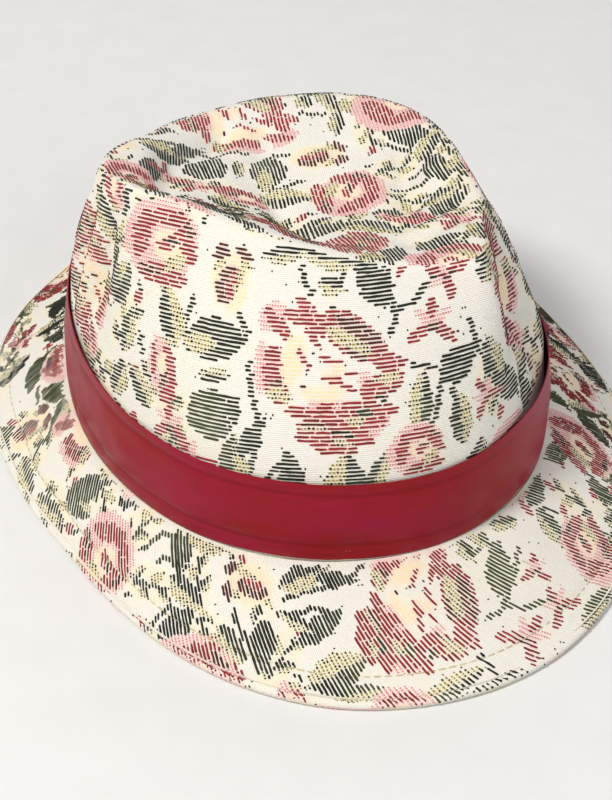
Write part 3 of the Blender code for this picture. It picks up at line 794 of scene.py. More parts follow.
# Tint of the ground under each yarn: red, green, blue and strength
GROUND_TINTS = np.array([
    (0.90, 0.85, 0.72, 0.0), (0.70, 0.68, 0.52, 0.30), (0.84, 0.40, 0.39, 0.62), (0.66, 0.40, 0.30, 0.50),
    (0.72, 0.60, 0.24, 0.75), (0.82, 0.34, 0.36, 0.75), (0.93, 0.68, 0.36, 0.90), (0.90, 0.74, 0.42, 0.50),
])
GROUND_LIGHT = (0.895, 0.875, 0.825)
GROUND_DARK = (0.77, 0.735, 0.65)
GROUND_WARM = (0.86, 0.78, 0.60)
# Colour of the painted shade in the grooves between the ground's ribs
GROUND_PAINTED_SHADE = (0.50, 0.47, 0.42)
SOIL_SHARE = 0.5
# How strongly that painted shade darkens the grooves between the ribs
RIB_PAINTED_SHADE = 0.42
# Spacing along the weft of the ground's warp yarns, and of its dots of tinted yarn
WARP_PITCH = 0.62 * MM
DOT_PITCH = 0.85 * MM
# Yarns: material, deep and pale colour, and the colour of its faded patches if it has any
YARN_COLOURS = [
    ("dark_yarn", (0.003, 0.004, 0.002), (0.022, 0.025, 0.012), (0.060, 0.068, 0.024)),
    ("red_yarn", (0.11, 0.008, 0.008), (0.34, 0.032, 0.032)),
    ("brown_yarn", (0.03, 0.008, 0.007), (0.11, 0.024, 0.018)),
    ("gold_yarn", (0.14, 0.11, 0.025), (0.34, 0.28, 0.085)),
    ("pink_yarn", (0.40, 0.08, 0.08), (0.64, 0.23, 0.22)),
]
SATIN_DEEP = (0.15, 0.005, 0.007)
SATIN_LIGHT = (0.33, 0.014, 0.017)
# Painted magenta sheen, laid on the satin in soft blotches
SATIN_PAINTED_SHEEN = (0.33, 0.008, 0.075)
TWILL_DEEP = (0.42, 0.37, 0.29)
TWILL_PALE = (0.66, 0.61, 0.52)
CREAM_THREAD = ((0.46, 0.38, 0.22), (0.72, 0.64, 0.46))
RED_THREAD = ((0.22, 0.01, 0.02), (0.42, 0.03, 0.06))
FLOOR_DEEP = (0.70, 0.69, 0.67)
FLOOR_PALE = (0.76, 0.75, 0.73)
# Plain weaves: material, deep and pale colour, pitch, roughness, sheen and how high the yarns stand
PLAIN_WEAVES = {
    "interfacing": ("interfacing_canvas", (0.62, 0.60, 0.54), (0.78, 0.76, 0.70), 0.8 * MM, 0.9, 0, 0.2 * MM),
    "lining": ("lining_satin", (0.60, 0.55, 0.45), (0.74, 0.69, 0.59), 0.3 * MM, 0.45, 0.2, 0.04 * MM),
    "label": ("label_satin", (0.74, 0.73, 0.69), (0.86, 0.85, 0.82), 0.25 * MM, 0.45, 0.1, 0.05 * MM),
}

# Where the pattern's middle falls on each panel's flat cloth (mm)
SIDE_OFFSET = (-8.5, 66.5)
TIP_OFFSET = (56.0, -12.0)
BRIM_OFFSET = (160.0, 338.0)
UNDER_OFFSET = (60.0, 260.0)

# Where the tapestry has no floats: low on the side band, behind the ribbon, and on the strip that the brim
# stands on
HIDDEN_BY_RIBBON = 26.5 * MM
LAND_WITHOUT_FLOATS = 4 * MM

# The grooves that sewing pulls in the cloth, at the rim and along the topstitching: depth and half-width
RIM_GROOVE = (0.18 * MM, 0.9 * MM)
UPPER_GROOVE = (0.55 * MM, 1.1 * MM)
LOWER_GROOVE = (0.3 * MM, 1.0 * MM)

# The ribbon: millimetres of it to a degree of azimuth, how its face bulges, swells and ripples, and how its
# lower edge sways
RIBBON_ARC = 1.6
RIBBON_BULGE = 0.6 * MM
RIBBON_SWELL = 0.3 * MM
RIBBON_RIPPLE = 0.1 * MM
RIBBON_SWAY = 0.25 * MM
RIBBON_SHARES = np.linspace(0, 1, 25)
# How far the folded cover over its ends swells
JOIN_COVER_SWELL = 0.8 * MM
# Its two long press creases, as shares of its height; the satin's colour has painted shade along them
RIBBON_CREASES = (0.2, 0.87)
RIBBON_CREASE_HALF_WIDTH = 0.035
RIBBON_CREASE_DEPTH = 0.45 * MM
# The azimuths of the hand stitches, their height as a share of the ribbon's, and the dimples they pull:
# height as a share, depth, and half-width in millimetres
TACKS = (-140, -78, -4, 34, 84, 146)
TACK_HEIGHT = 0.11
DIMPLE_HEIGHT = 0.12
DIMPLE_DEPTH = 0.55 * MM
DIMPLE_HALF_WIDTH = 2.6

# Stitches: length, space between two, and radius of the thread. Each is five rings: place as a share of the
# length, width as a share, and height over the path in radii
TOPSTITCH = (2.7 * MM, 0.7 * MM, 0.3 * MM)
TACK_STITCH = (1.1 * MM, 0.1 * MM, 0.28 * MM)
SWEATBAND_STITCH = (2.4 * MM, 0.8 * MM, 0.3 * MM)
STITCH_RINGS = ((0, 0.5, -0.2), (0.18, 0.9, 0.7), (0.5, 1, 1), (0.82, 0.9, 0.7), (1, 0.5, -0.2))
# How far stitches stray along their line, how deep the topstitching lies, and how high up the sweatband its
# stitching runs
STITCH_STRAY = 0.08 * MM
STITCH_DEPTH = 0.42 * MM
SWEATBAND_STITCH_HEIGHT = 2.5 * MM

# The layers behind the crown's tapestry: name, depth, thickness, how loosely they hang, the first row of
# the side band that they reach down to, and the nodes that they stand for at the side and the tip
CROWN_LAYERS = [
    ("interfacing", INTERFACING_DEPTH, INTERFACING, 0, 1, "crown_side_interfacing", "crown_tip_interfacing"),
    ("lining", LINING_DEPTH, LINING, 0.35 * MM, 3, "lining_side", "lining_tip"),
]
# Millimetres of lining to a degree of azimuth, how far the sweatband sways at its top, and the label's shape
LINING_ARC = 1.4
SWEATBAND_SWAY = 0.35 * MM
LABEL_THICKNESS = 0.4 * MM
LABEL_CURL = 0.5 * MM
LABEL_RIPPLE = 0.15 * MM

# The camera, which looks at the middle of the join; the floor; and the lights: name, place, size, power and
# colour
CAMERA_DISTANCE = 0.690
CAMERA_DOWN = math.radians(37)
CAMERA_TURN = math.radians(12.2)
CAMERA_TILT = math.radians(-1.15)
CAMERA_ROLL = math.radians(2)
CAMERA_SENSOR = 36.0
CAMERA_LENS = 87.2
FLOOR_SIZE = 6
WORLD_LIGHT = 0.42
WORLD_COLOUR = (0.95, 0.97, 1.0, 1)
LIGHTS = [
    ("key_light", (-0.85, -0.45, 1.35), 0.4, 21, (1.0, 0.985, 0.96)),
    ("fill_light", (0.9, -1.3, 0.9), 1.2, 8, (0.98, 0.99, 1.0)),
    ("back_light", (0.3, 1.4, 1.2), 1.4, 4, (1.0, 1.0, 1.0)),
]


def weft_floats(yarns):
    """Splits the repeat into single floats: row, start and end (mm), yarn, and a shade between 0 and 1."""
    random = np.random.default_rng(12)
    floats = []
    for row, line in enumerate(yarns):
        changes = np.flatnonzero(np.diff(line)) + 1
        for first, last in zip([0, *changes], [*changes, len(line)]):
            yarn = line[first]
            start = first * PATTERN_STEP - REPEAT_U / 2
            end = last * PATTERN_STEP - REPEAT_U / 2
            if yarn in (GROUND, PEACH, HONEY) or end - start < SHORTEST_FLOAT:
                continue
            while start < end - SHORTEST_FLOAT / 2:
                shade = random.uniform()
                kind = yarn
                if yarn == GOLD and random.uniform() < GOLD_TICK_DARK_SHARE:
                    kind = DARK
                low, high = FLOAT_LENGTHS[yarn]
                length = min(end - start, random.uniform(low, high))
                floats.append((row, start, start + length, kind, shade))
                start += length + FLOAT_SPACE
    rows = random.integers(0, REPEAT_ROWS, SPECKS_IN_REPEAT)
    starts = random.uniform(-REPEAT_U / 2, REPEAT_U / 2 - 1, SPECKS_IN_REPEAT)
    for row, start in zip(rows, starts):
        if yarns[row, int((start + REPEAT_U / 2) / PATTERN_STEP)] == GROUND:
            floats.append((row, start, start + SHORTEST_FLOAT, DARK, random.uniform()))
    return np.array(floats)


def repeat_tints(yarns):
    """The colour that fine ground yarns give the cloth between the floats, and how strong it is."""
    tint = GROUND_TINTS[yarns]
    for shift in (1, 2):
        tint = (tint + np.roll(tint, shift, axis=1) + np.roll(tint, -shift, axis=1)) / 3
    return (np.roll(tint, 1, axis=0) + 2 * tint + np.roll(tint, -1, axis=0)) / 4


def tint_at(tints, places):
    """The ground's tint at places on the cloth (mm)."""
    column = ((places[:, 0] + REPEAT_U / 2) / PATTERN_STEP).astype(int) % tints.shape[1]
    row = np.round(places[:, 1] / YARN_PITCH + REPEAT_ROWS / 2).astype(int) % REPEAT_ROWS
    return tints[row, column]


def panel_floats(floats, low, high):
    """Every float in a rectangle of cloth: height of its row, start and end (mm), yarn and shade."""
    found = []
    first_row = math.floor(low[1] / YARN_PITCH)
    last_row = math.ceil(high[1] / YARN_PITCH)
    first_copy = math.floor(low[0] / REPEAT_U - 0.5)
    last_copy = math.ceil(high[0] / REPEAT_U + 0.5)
    by_row = [floats[floats[:, 0] == row] for row in range(REPEAT_ROWS)]
    for row in range(first_row, last_row + 1):
        line = by_row[(row + REPEAT_ROWS // 2) % REPEAT_ROWS]
        for copy in range(first_copy, last_copy + 1):
            moved = line.copy()
            moved[:, 0] = row * YARN_PITCH
            moved[:, 1:3] += copy * REPEAT_U
            found.append(moved[(moved[:, 2] > low[0]) & (moved[:, 1] < high[0])])
    return np.concatenate(found)


def float_rings(floats):
    """The rings of each float's mesh: number of the float, u, v and share of the full width.

    No yarn lies quite straight or has quite the same width all along.
    """
    random = np.random.default_rng(13)
    rings = []
    for number, (height, start, end, _, _) in enumerate(floats):
        length = end - start
        taper = min(FLOAT_TAPER, length / 3)
        steps = math.ceil((length - 2 * taper) / RING_STEP)
        inner = np.linspace(start + taper, end - taper, steps + 1)
        if length < SHORT_TICK:
            inner = [(start + end) / 2]
        rings.append((number, start, height, FLOAT_END_SHARE))
        rings.extend((number, place, height, 1.0) for place in inner)
        rings.append((number, end, height, FLOAT_END_SHARE))
    rings = np.array(rings)
    whole = random.normal(0, FLOAT_STRAY, len(floats))
    rings[:, 2] += whole[rings[:, 0].astype(int)] + random.normal(0, FLOAT_STRAY, len(rings))
    rings[:, 3] *= random.uniform(1 - YARN_UNEVENNESS, 1 + YARN_UNEVENNESS, len(rings))
    return rings


def find_on_panel(surface, coordinates, places, keep):
    """Points and directions on a panel at places on its flat cloth; found says which places are on it."""
    rows, columns = surface.points.shape[:2]
    quads = grid_faces(rows, columns, surface.cap)
    triangles = np.concatenate([quads[:, [0, 1, 2]], quads[:, [0, 2, 3]]])
    flat = coordinates.reshape(-1, 2)
    corners = np.concatenate([flat, np.zeros((len(flat), 1))], axis=1)
    tree = BVHTree.FromPolygons(corners.tolist(), triangles.tolist())
    down = Vector((0, 0, -1))
    hits = [tree.ray_cast(Vector((u, v, 1.0)), down)[2] for u, v in places]
    found = np.array([hit is not None for hit in hits])
    chosen = triangles[[hit or 0 for hit in hits]]
    a, b, c = (flat[chosen[:, i]] for i in range(3))
    ab, ac, ap = b - a, c - a, places - a
    area = ab[:, 0] * ac[:, 1] - ab[:, 1] * ac[:, 0]
    area = np.where(np.abs(area) < 1e-14, 1e-14, area)
    share_b = (ap[:, 0] * ac[:, 1] - ap[:, 1] * ac[:, 0]) / area
    share_c = (ab[:, 0] * ap[:, 1] - ab[:, 1] * ap[:, 0]) / area
    shares = np.stack([1 - share_b - share_c, share_b, share_c], axis=1)
    points = (surface.points.reshape(-1, 3)[chosen] * shares[..., None]).sum(axis=1)
    directions = (surface.directions.reshape(-1, 3)[chosen] * shares[..., None]).sum(axis=1)
    kept = (keep.reshape(-1)[chosen] * shares).sum(axis=1)
    return points, directions, found & (kept > 0.5)


def yarn_mesh(name, points, directions, groups, widths, rises):
    """Short lengths of yarn that lie on a surface: rings of four points with a cap at each end.

    Rings with the same group number form one length of yarn. Gives back which rings are used, and the faces.
    """
    count = len(points)
    same_before = np.concatenate([[False], groups[1:] == groups[:-1]])
    same_after = np.concatenate([groups[1:] == groups[:-1], [False]])
    before = np.where(same_before, np.arange(count) - 1, np.arange(count))
    after = np.where(same_after, np.arange(count) + 1, np.arange(count))
    side = unit(np.cross(directions, unit(points[after] - points[before])))
    up = unit(directions)
    half = side * widths[:, None] / 2
    rise = up * rises[:, None]
    sink = up * YARN_SINK
    ring = np.stack([
        points - half - sink,
        points - half * YARN_FLATNESS + rise,
        points + half * YARN_FLATNESS + rise,
        points + half - sink,
    ], axis=1)
    first = np.flatnonzero(same_after)
    a = first * 4
    b = (first + 1) * 4
    quads = [np.stack([a + i, a + (i + 1) % 4, b + (i + 1) % 4, b + i], axis=1) for i in range(4)]
    start = np.flatnonzero(same_after & ~same_before) * 4
    end = np.flatnonzero(same_before & ~same_after) * 4
    quads.append(np.stack([start + 3, start + 2, start + 1, start], axis=1))
    quads.append(np.stack([end, end + 1, end + 2, end + 3], axis=1))
    used = same_before | same_after
    numbers = np.repeat(np.cumsum(used) - 1, 4) * 4 + np.tile(np.arange(4), count)
    quads = numbers[np.concatenate(quads)][:, ::-1]
    return new_mesh(name, ring[used].reshape(-1, 3), quads), used, quads


def dress_yarn(thing, shade, along):
    """Gives each ring of a yarn mesh its shade, and its place along the yarn and round it (metres)."""
    shade = shade.repeat(4)
    set_colours(thing, "shade", np.stack([shade, shade, shade, np.ones_like(shade)], axis=1))
    across = np.tile(np.arange(4) / 3, len(along)) * MM
    set_cloth_map(thing, np.stack([along.repeat(4), across], axis=1))


def tapestry_floats(name, surface, coordinates, offset, keep, weave):
    """The floats of a tapestry panel as raised yarn. The offset places the pattern on the panel (mm)."""
    places = coordinates / MM - np.array(offset)
    flat = places.reshape(-1, 2)
    chosen = panel_floats(weave["floats"], flat.min(axis=0), flat.max(axis=0))
    rings = float_rings(chosen)
    on_cloth = (rings[:, 1:3] + np.array(offset)) * MM
    points, directions, found = find_on_panel(surface, coordinates, on_cloth, keep)
    number = rings[:, 0].astype(int)
    broken = np.concatenate([[0], np.cumsum((number[1:] != number[:-1]) | ~found[1:] | ~found[:-1])])
    share = rings[found, 3]
    yarn = chosen[number[found], 3].astype(int)
    thin = np.array([YARN_SHARES[kind] for kind in yarn])
    widths = YARN_WIDTH * share * thin
    rises = YARN_RISE * (0.25 + 0.75 * share) * thin
    thing, used, quads = yarn_mesh(name, points[found], directions[found], broken[found], widths, rises)
    for look in weave["yarns"]:
        thing.data.materials.append(look)
    slots = np.array([list(YARN_SHARES).index(kind) for kind in yarn[used]]).repeat(4)
    thing.data.polygons.foreach_set("material_index", slots[quads[:, 0]].astype(np.int32))
    dress_yarn(thing, chosen[number[found], 4][used], rings[found, 1][used] * MM)
    return thing


class Look:
    """A material and short ways to add nodes to it."""

    def __init__(self, name, roughness=0.8, sheen=0.0):
        self.material = bpy.data.materials.new(name)
        self.material.use_nodes = True
        self.tree = self.material.node_tree
        self.shader = self.tree.nodes["Principled BSDF"]
        self.shader.inputs["Roughness"].default_value = roughness
        self.shader.inputs["Sheen Weight"].default_value = sheen
        self.shader.inputs["Sheen Roughness"].default_value = 0.5
        self.shader.inputs["Specular IOR Level"].default_value = 0.2

    def feed(self, target, source):
        if isinstance(source, bpy.types.NodeSocket):
            self.tree.links.new(source, target)
        elif isinstance(source, (tuple, list)) and len(source) == 3 and len(target.default_value) == 4:
            target.default_value = (*source, 1)
        else:
            target.default_value = source

    def node(self, kind, inputs=(), **settings):
        made = self.tree.nodes.new(kind)
        for key, value in settings.items():
            setattr(made, key, value)
        for place, source in dict(inputs).items():
            self.feed(made.inputs[place], source)
        return made

    def math(self, operation, *values, clamp=False):
        made = self.node("ShaderNodeMath", enumerate(values), operation=operation, use_clamp=clamp)
        return made.outputs[0]

    def times(self, first, second, clamp=False):
        return self.math("MULTIPLY", first, second, clamp=clamp)

    def plus(self, first, second):
        return self.math("ADD", first, second)

    def minus(self, first, second, clamp=False):
        return self.math("SUBTRACT", first, second, clamp=clamp)

    def line(self, value, slope, start):
        """A start, and so much more for each unit of a value."""
        return self.math("MULTIPLY_ADD", value, slope, start)

    def mix(self, share, first, second):
        return self.node("ShaderNodeMix", {0: share, 6: first, 7: second}, data_type="RGBA").outputs[2]

    def cloth_place(self):
        """The place on the flat cloth, and its two parts: along the weft and across it, in metres."""
        uv = self.node("ShaderNodeUVMap", uv_map="cloth").outputs[0]
        parts = self.node("ShaderNodeSeparateXYZ", {0: uv})
        return uv, parts.outputs[0], parts.outputs[1]

    def wave(self, place, length, shift=0.0):
        """A smooth wave between 0 and 1 along a distance, with that wavelength in metres."""
        angle = self.line(place, 2 * math.pi / length, shift)
        return self.line(self.math("SINE", angle), 0.5, 0.5)

    def noise(self, place, scale, detail=2.0):
        inputs = {"Vector": place, "Scale": scale, "Detail": detail}
        return self.node("ShaderNodeTexNoise", inputs).outputs[0]

    def stretched(self, uv, across, along):
        """Cloth coordinates scaled so that noise of scale 1 has these sizes in metres."""
        inputs = {"Vector": uv, "Scale": (1 / along, 1 / across, 1.0)}
        return self.node("ShaderNodeMapping", inputs).outputs[0]

    def object_place(self):
        return self.node("ShaderNodeTexCoord").outputs["Object"]

    def bump(self, height, distance, strength=1.0):
        made = self.node("ShaderNodeBump", {"Height": height, "Distance": distance, "Strength": strength})
        self.feed(self.shader.inputs["Normal"], made.outputs[0])

    def colour(self, source):
        self.feed(self.shader.inputs["Base Color"], source)

    def roughness(self, value, low, high):
        """Roughness between two limits, as a value goes from 0 to 1."""
        rough = self.node("ShaderNodeMapRange", {0: value, 3: low, 4: high}).outputs[0]
        self.feed(self.shader.inputs["Roughness"], rough)


def tapestry_look():
    """The ground of the tapestry: cream ribs with painted shade between them, and fine tinted yarns between
    the floats.
    """
    look = Look("tapestry_ground", 0.88, 0.15)
    uv, along, across = look.cloth_place()
    ribs = look.wave(across, YARN_PITCH * MM / 2)
    warp = look.wave(along, WARP_PITCH)
    slub = look.noise(look.stretched(uv, 0.7 * MM, 9 * MM), 1.0)
    soil = look.noise(look.object_place(), 26.0, 3.0)
    cream = look.mix(slub, GROUND_DARK, GROUND_LIGHT)
    cream = look.mix(look.times(soil, SOIL_SHARE), cream, GROUND_WARM)
    # Painted shade: the grooves between the ribs are darkened towards the shade colour
    cream = look.mix(look.times(look.minus(1.0, ribs), RIB_PAINTED_SHADE), cream, GROUND_PAINTED_SHADE)
    tint = look.node("ShaderNodeVertexColor", layer_name="tint")
    dots = look.times(look.wave(along, DOT_PITCH), look.wave(across, YARN_PITCH * MM, 1.0))
    dots = look.line(dots, 1.5, 0.28)
    share = look.times(tint.outputs["Alpha"], dots, clamp=True)
    look.colour(look.mix(share, cream, tint.outputs["Color"]))
    look.roughness(slub, 0.8, 0.95)
    height = look.plus(look.times(ribs, 0.6), look.times(warp, 0.25))
    height = look.plus(height, look.times(slub, 0.5))
    look.bump(height, 0.16 * MM, 0.9)
    return look.material


def yarn_look(name, deep, pale, faded=None):
    """A yarn whose shade differs from length to length and along each, with twisted fibres."""
    look = Look(name, 0.8, 0.04)
    uv, along, across = look.cloth_place()
    shade = look.node("ShaderNodeVertexColor", layer_name="shade").outputs["Color"]
    fuzz = look.noise(look.stretched(uv, 0.3 * MM, 1.4 * MM), 1.0, 3.0)
    grey = look.node("ShaderNodeSeparateColor", {0: shade}).outputs[0]
    share = look.times(look.plus(grey, fuzz), 0.5)
    base = look.mix(share, deep, pale)
    if faded:
        place = look.object_place()
        height = look.node("ShaderNodeSeparateXYZ", {0: place}).outputs[2]
        start = look.line(height, 1.8, 0.41)
        patch = look.minus(look.noise(place, 24.0, 1.0), start)
        patch = look.times(patch, 7.0, clamp=True)
        base = look.mix(look.times(patch, 0.8), base, faded)
    look.colour(base)
    look.roughness(fuzz, 0.65, 0.85)
    twist = look.wave(look.plus(along, look.times(across, 0.5)), 0.45 * MM)
    look.bump(look.plus(twist, fuzz), 0.08 * MM, 0.6)
    return look.material


def satin_look():
    """Wine-red satin: fine warp lines, soft blotches of painted magenta sheen, and painted shade along the
    press creases.
    """
    look = Look("red_satin", 0.4, 0.03)
    uv, along, across = look.cloth_place()
    grain = look.noise(look.stretched(uv, 0.25 * MM, 14 * MM), 1.0, 2.0)
    blotch = look.noise(look.stretched(uv, 18 * MM, 45 * MM), 1.0, 2.0)
    base = look.mix(grain, SATIN_DEEP, SATIN_LIGHT)
    # Painted sheen: soft blotches of the colour turn towards magenta
    patch = look.times(look.minus(blotch, 0.42), 4.0, clamp=True)
    base = look.mix(look.times(patch, 0.35), base, SATIN_PAINTED_SHEEN)
    # Painted shade: each press crease gets a darker line in the colour
    for share in RIBBON_CREASES:
        away = look.math("ABSOLUTE", look.minus(across, share * RIBBON_HEIGHT))
        line = look.minus(1.0, look.math("DIVIDE", away, 1.1 * MM), clamp=True)
        base = look.mix(look.times(line, look.times(grain, 1.1)), base, SATIN_DEEP)
    look.colour(base)
    look.roughness(blotch, 0.28, 0.42)
    look.feed(look.shader.inputs["Sheen Tint"], (0.9, 0.35, 0.5))
    look.feed(look.shader.inputs["Anisotropic"], 0.6)
    look.feed(look.shader.inputs["Specular IOR Level"], 0.22)
    look.feed(look.shader.inputs["Specular Tint"], (1.0, 0.3, 0.42))
    weave = look.times(look.wave(across, 0.32 * MM), look.wave(along, 0.9 * MM))
    height = look.plus(look.times(grain, 0.7), look.times(weave, 0.4))
    look.bump(height, 0.05 * MM, 0.5)
    return look.material


def plain_weave_look(name, deep, pale, pitch, roughness, sheen, relief):
    """A plain weave with crossing yarns of one pitch, some thicker than others."""
    look = Look(name, roughness, sheen)
    uv, along, across = look.cloth_place()
    warp = look.wave(along, pitch)
    weft = look.wave(across, pitch)
    over = look.times(warp, weft)
    under = look.times(look.minus(1.0, warp), look.minus(1.0, weft))
    weave = look.plus(over, under)
    slub = look.noise(look.stretched(uv, pitch, 12 * pitch), 1.0, 2.0)
    blotch = look.noise(look.object_place(), 40.0, 3.0)
    share = look.plus(look.times(slub, 0.6), look.times(weave, 0.4))
    base = look.mix(share, deep, pale)
    look.colour(look.mix(look.times(blotch, 0.25), base, deep))
    look.roughness(blotch, roughness - 0.08, roughness + 0.08)
    look.bump(look.plus(weave, slub), relief, 0.8)
    return look.material


def twill_look():
    """Cotton twill: slanting ribs broken up by the yarns that cross them."""
    look = Look("sweatband_twill", 0.85, 0.2)
    uv, along, across = look.cloth_place()
    slant = look.wave(look.plus(along, across), 0.9 * MM)
    cross = look.wave(look.minus(along, across), 0.45 * MM)
    slub = look.noise(look.stretched(uv, 0.5 * MM, 6 * MM), 1.0, 2.0)
    soil = look.noise(look.object_place(), 30.0, 3.0)
    base = look.mix(look.times(slant, 0.7), TWILL_DEEP, TWILL_PALE)
    base = look.mix(look.times(slub, 0.3), base, TWILL_PALE)
    look.colour(look.mix(look.times(soil, 0.3), base, TWILL_DEEP))
    look.roughness(soil, 0.78, 0.92)
    height = look.plus(look.times(slant, 0.7), look.times(cross, 0.3))
    look.bump(height, 0.14 * MM, 0.9)
    return look.material


def floor_look():
    look = Look("pale_floor", 0.7)
    speckle = look.noise(look.object_place(), 60.0, 4.0)
    look.colour(look.mix(speckle, FLOOR_DEEP, FLOOR_PALE))
    return look.material


def add_piece(thing, look, slot, *nodes):
    """Gives a piece its material and puts it in the place of its CAD nodes; its slot is not used."""
    thing.data.materials.append(look)
    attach(thing, "root")
    if nodes:
        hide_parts(*nodes)
    return thing


def declare_cloth(points):
    """Works out the size of flat cloth a panel is cut from: its greatest width, its length and its area,
    which are not used.
    """
    across = round(float(lengths_along(points, 0)[-1].max()), 3)
    along = round(float(lengths_along(points, 1)[:, -1].max()), 3)
    first = points[1:, 1:] - points[:-1, :-1]
    second = points[1:, :-1] - points[:-1, 1:]
    area = float(np.linalg.norm(np.cross(first, second), axis=-1).sum() / 2)
    area = min(round(area, 4), across * along)


def tapestry_panel(name, surface, coordinates, offset, keep, weave, node):
    """A panel of tapestry: its ground cloth, and the raised floats that ride on it."""
    cloth, flat = cloth_layer(name, surface, SHELL, coordinates=coordinates)
    set_colours(cloth, "tint", tint_at(weave["tints"], flat / MM - np.array(offset)))
    add_piece(cloth, weave["ground"], "tapestry", node)
    floats = tapestry_floats(name + "_floats", surface, coordinates, offset, keep, weave)
    floats.parent = cloth
    return cloth


def make_side(weave):
    """The side band of tapestry, pressed in along its seam at the rim."""
    points, directions = SIDE_POINTS, SIDE_DIRECTIONS
    grooved = sew_groove(points, directions, 0, *RIM_GROOVE, from_last=True)
    surface = Surface(grooved, directions)
    keep = (points[..., 2] > JOIN_TOP + HIDDEN_BY_RIBBON).astype(float)
    places = side_coordinates(points)
    cloth = tapestry_panel("crown_side_cloth", surface, places, SIDE_OFFSET, keep, weave, "crown_side")
    declare_cloth(points)


def make_tip(weave):
    """The dented top panel of tapestry."""
    points, directions = CROWN[RIM_ROW:], CROWN_DIRECTIONS[RIM_ROW:]
    grooved = sew_groove(points, directions, 0, *RIM_GROOVE, from_last=False)
    surface = Surface(grooved, directions, cap=True)
    keep = np.ones(points.shape[:2])
    places = tip_coordinates(points)
    cloth = tapestry_panel("crown_tip_cloth", surface, places, TIP_OFFSET, keep, weave, "crown_tip")


def make_inner_side(name, depth, thickness, looseness, first_row, node, look):
    """A layer behind the side band, on a coarser grid than the tapestry."""
    rows = [*range(first_row, RIM_ROW, INNER_STEP), RIM_ROW]
    points = SIDE_POINTS[rows][:, ::INNER_STEP]
    arc = wrap(np.linspace(-180, 180, points.shape[1])) * LINING_ARC
    height = (points[..., 2] - JOIN_TOP) / MM
    slack = depth + looseness * np.clip(1 + waves(arc, height * 0.4, 12, 30, 21), 0, 2)
    surface = Surface(points, SIDE_DIRECTIONS[rows][:, ::INNER_STEP])
    thing, _ = cloth_layer(f"crown_side_{name}_cloth", surface, thickness, slack)
    add_piece(thing, look, name, node)
    declare_cloth(points)


def make_inner_tip(name, depth, thickness, looseness, node, look):
    """A layer under the tip, on a coarser grid than the tapestry."""
    points = CROWN[RIM_ROW::INNER_STEP, ::INNER_STEP]
    x, y = points[..., 0] / MM, points[..., 1] / MM
    slack = depth + looseness * np.clip(1 + waves(x, y, 14, 40, 22), 0, 2)
    surface = Surface(points, CROWN_DIRECTIONS[RIM_ROW::INNER_STEP, ::INNER_STEP], cap=True)
    thing, _ = cloth_layer(f"crown_tip_{name}_cloth", surface, thickness, slack, tip_coordinates(points))
    add_piece(thing, look, name, node)


def make_crown(weave, looks):
    """The side band and the tip with their stiffening and lining, all nested under one surface."""
    make_side(weave)
    make_tip(weave)
    for name, depth, thickness, looseness, first_row, side_node, tip_node in CROWN_LAYERS:
        make_inner_side(name, depth, thickness, looseness, first_row, side_node, looks[name])
        make_inner_tip(name, depth, thickness, looseness, tip_node, looks[name])


def make_upper_brim(azimuth, points, directions, weave):
    """The upper face of the brim, from its edge to the crown. The row against the crown has no floats."""
    grooved = sew_groove(points, directions, STITCH_INSET, *UPPER_GROOVE, from_last=False)
    surface = Surface(grooved, directions)
    places = brim_coordinates(azimuth, points[::-1])[::-1]
    keep = np.ones(points.shape[:2])
    keep[-1] = 0
    cloth = tapestry_panel("brim_upper_cloth", surface, places, BRIM_OFFSET, keep, weave, "brim_upper")
    declare_cloth(points)


def make_lower_brim(azimuth, points, directions, weave):
    """The lower face of the brim, from the crown to its edge. No floats lie under the edge it stands on."""
    grooved = sew_groove(points, directions, STITCH_INSET, *LOWER_GROOVE, from_last=True)
    surface = Surface(grooved, directions)
    places = brim_coordinates(azimuth, points)
    width = lengths_along(points, 0)
    keep = (width < width[-1] - LAND_WITHOUT_FLOATS).astype(float)
    cloth = tapestry_panel("brim_lower_cloth", surface, places, UNDER_OFFSET, keep, weave, "brim_lower")
    declare_cloth(points)


def make_brim(weave, looks):
    """The brim: two faces of tapestry that meet at the edge, stiffening between them, and topstitching."""
    azimuth = np.linspace(-180, 180, COLUMNS + 1)
    base, up, upper, lower = brim_surfaces(azimuth)
    for points in (base, upper, lower):
        open_seam(points)
    directions = grid_normals(upper, closed=False)
    directions[-1] = (0, 0, 1)
    make_upper_brim(azimuth, upper, directions, weave)
    under_directions = grid_normals(lower, closed=False)
    under_directions[0] = (0, 0, -1)
    make_lower_brim(azimuth, lower, under_directions, weave)

    points = base[:-2:INNER_STEP, ::INNER_STEP]
    surface = Surface(points[::-1], up[:-2:INNER_STEP, ::INNER_STEP][::-1])
    stiffener, _ = cloth_layer("brim_interlining_cloth", surface, SHELL, -(2 * SHELL + GAP))
    add_piece(stiffener, looks["interfacing"], "interfacing", "brim_interlining")
    declare_cloth(points)

    path, up = line_at(upper, directions, STITCH_INSET)
    path = (path - up * STITCH_DEPTH)[1:-1]
    stitch_line("brim_topstitch_thread", path, up[1:-1], TOPSTITCH, looks["cream_thread"],
                "cream_thread", "brim_topstitch")


def stitch_line(name, path, directions, size, look, slot, *nodes):
    """A line of separate stitches along a path, each one dipping into the cloth at its ends."""
    length, space, radius = size
    distance = lengths_along(path[None], 1)[0]
    count = int(distance[-1] / (length + space))
    pitch = distance[-1] / count
    random = np.random.default_rng(31)
    rings = []
    for number in range(count):
        start = number * pitch + random.uniform(-STITCH_STRAY, STITCH_STRAY)
        rings.extend((number, start + share * length, width, rise) for share, width, rise in STITCH_RINGS)
    rings = np.array(rings)
    points, up = (
        np.stack([np.interp(rings[:, 1], distance, values[:, i]) for i in range(3)], axis=1)
        for values in (path, directions)
    )
    widths = rings[:, 2] * radius * 2
    rises = rings[:, 3] * radius
    thing, used, _ = yarn_mesh(name, points, unit(up), rings[:, 0].astype(int), widths, rises)
    dress_yarn(thing, random.uniform(0, 1, count)[rings[used, 0].astype(int)], rings[used, 1])
    return add_piece(thing, look, slot, *nodes)


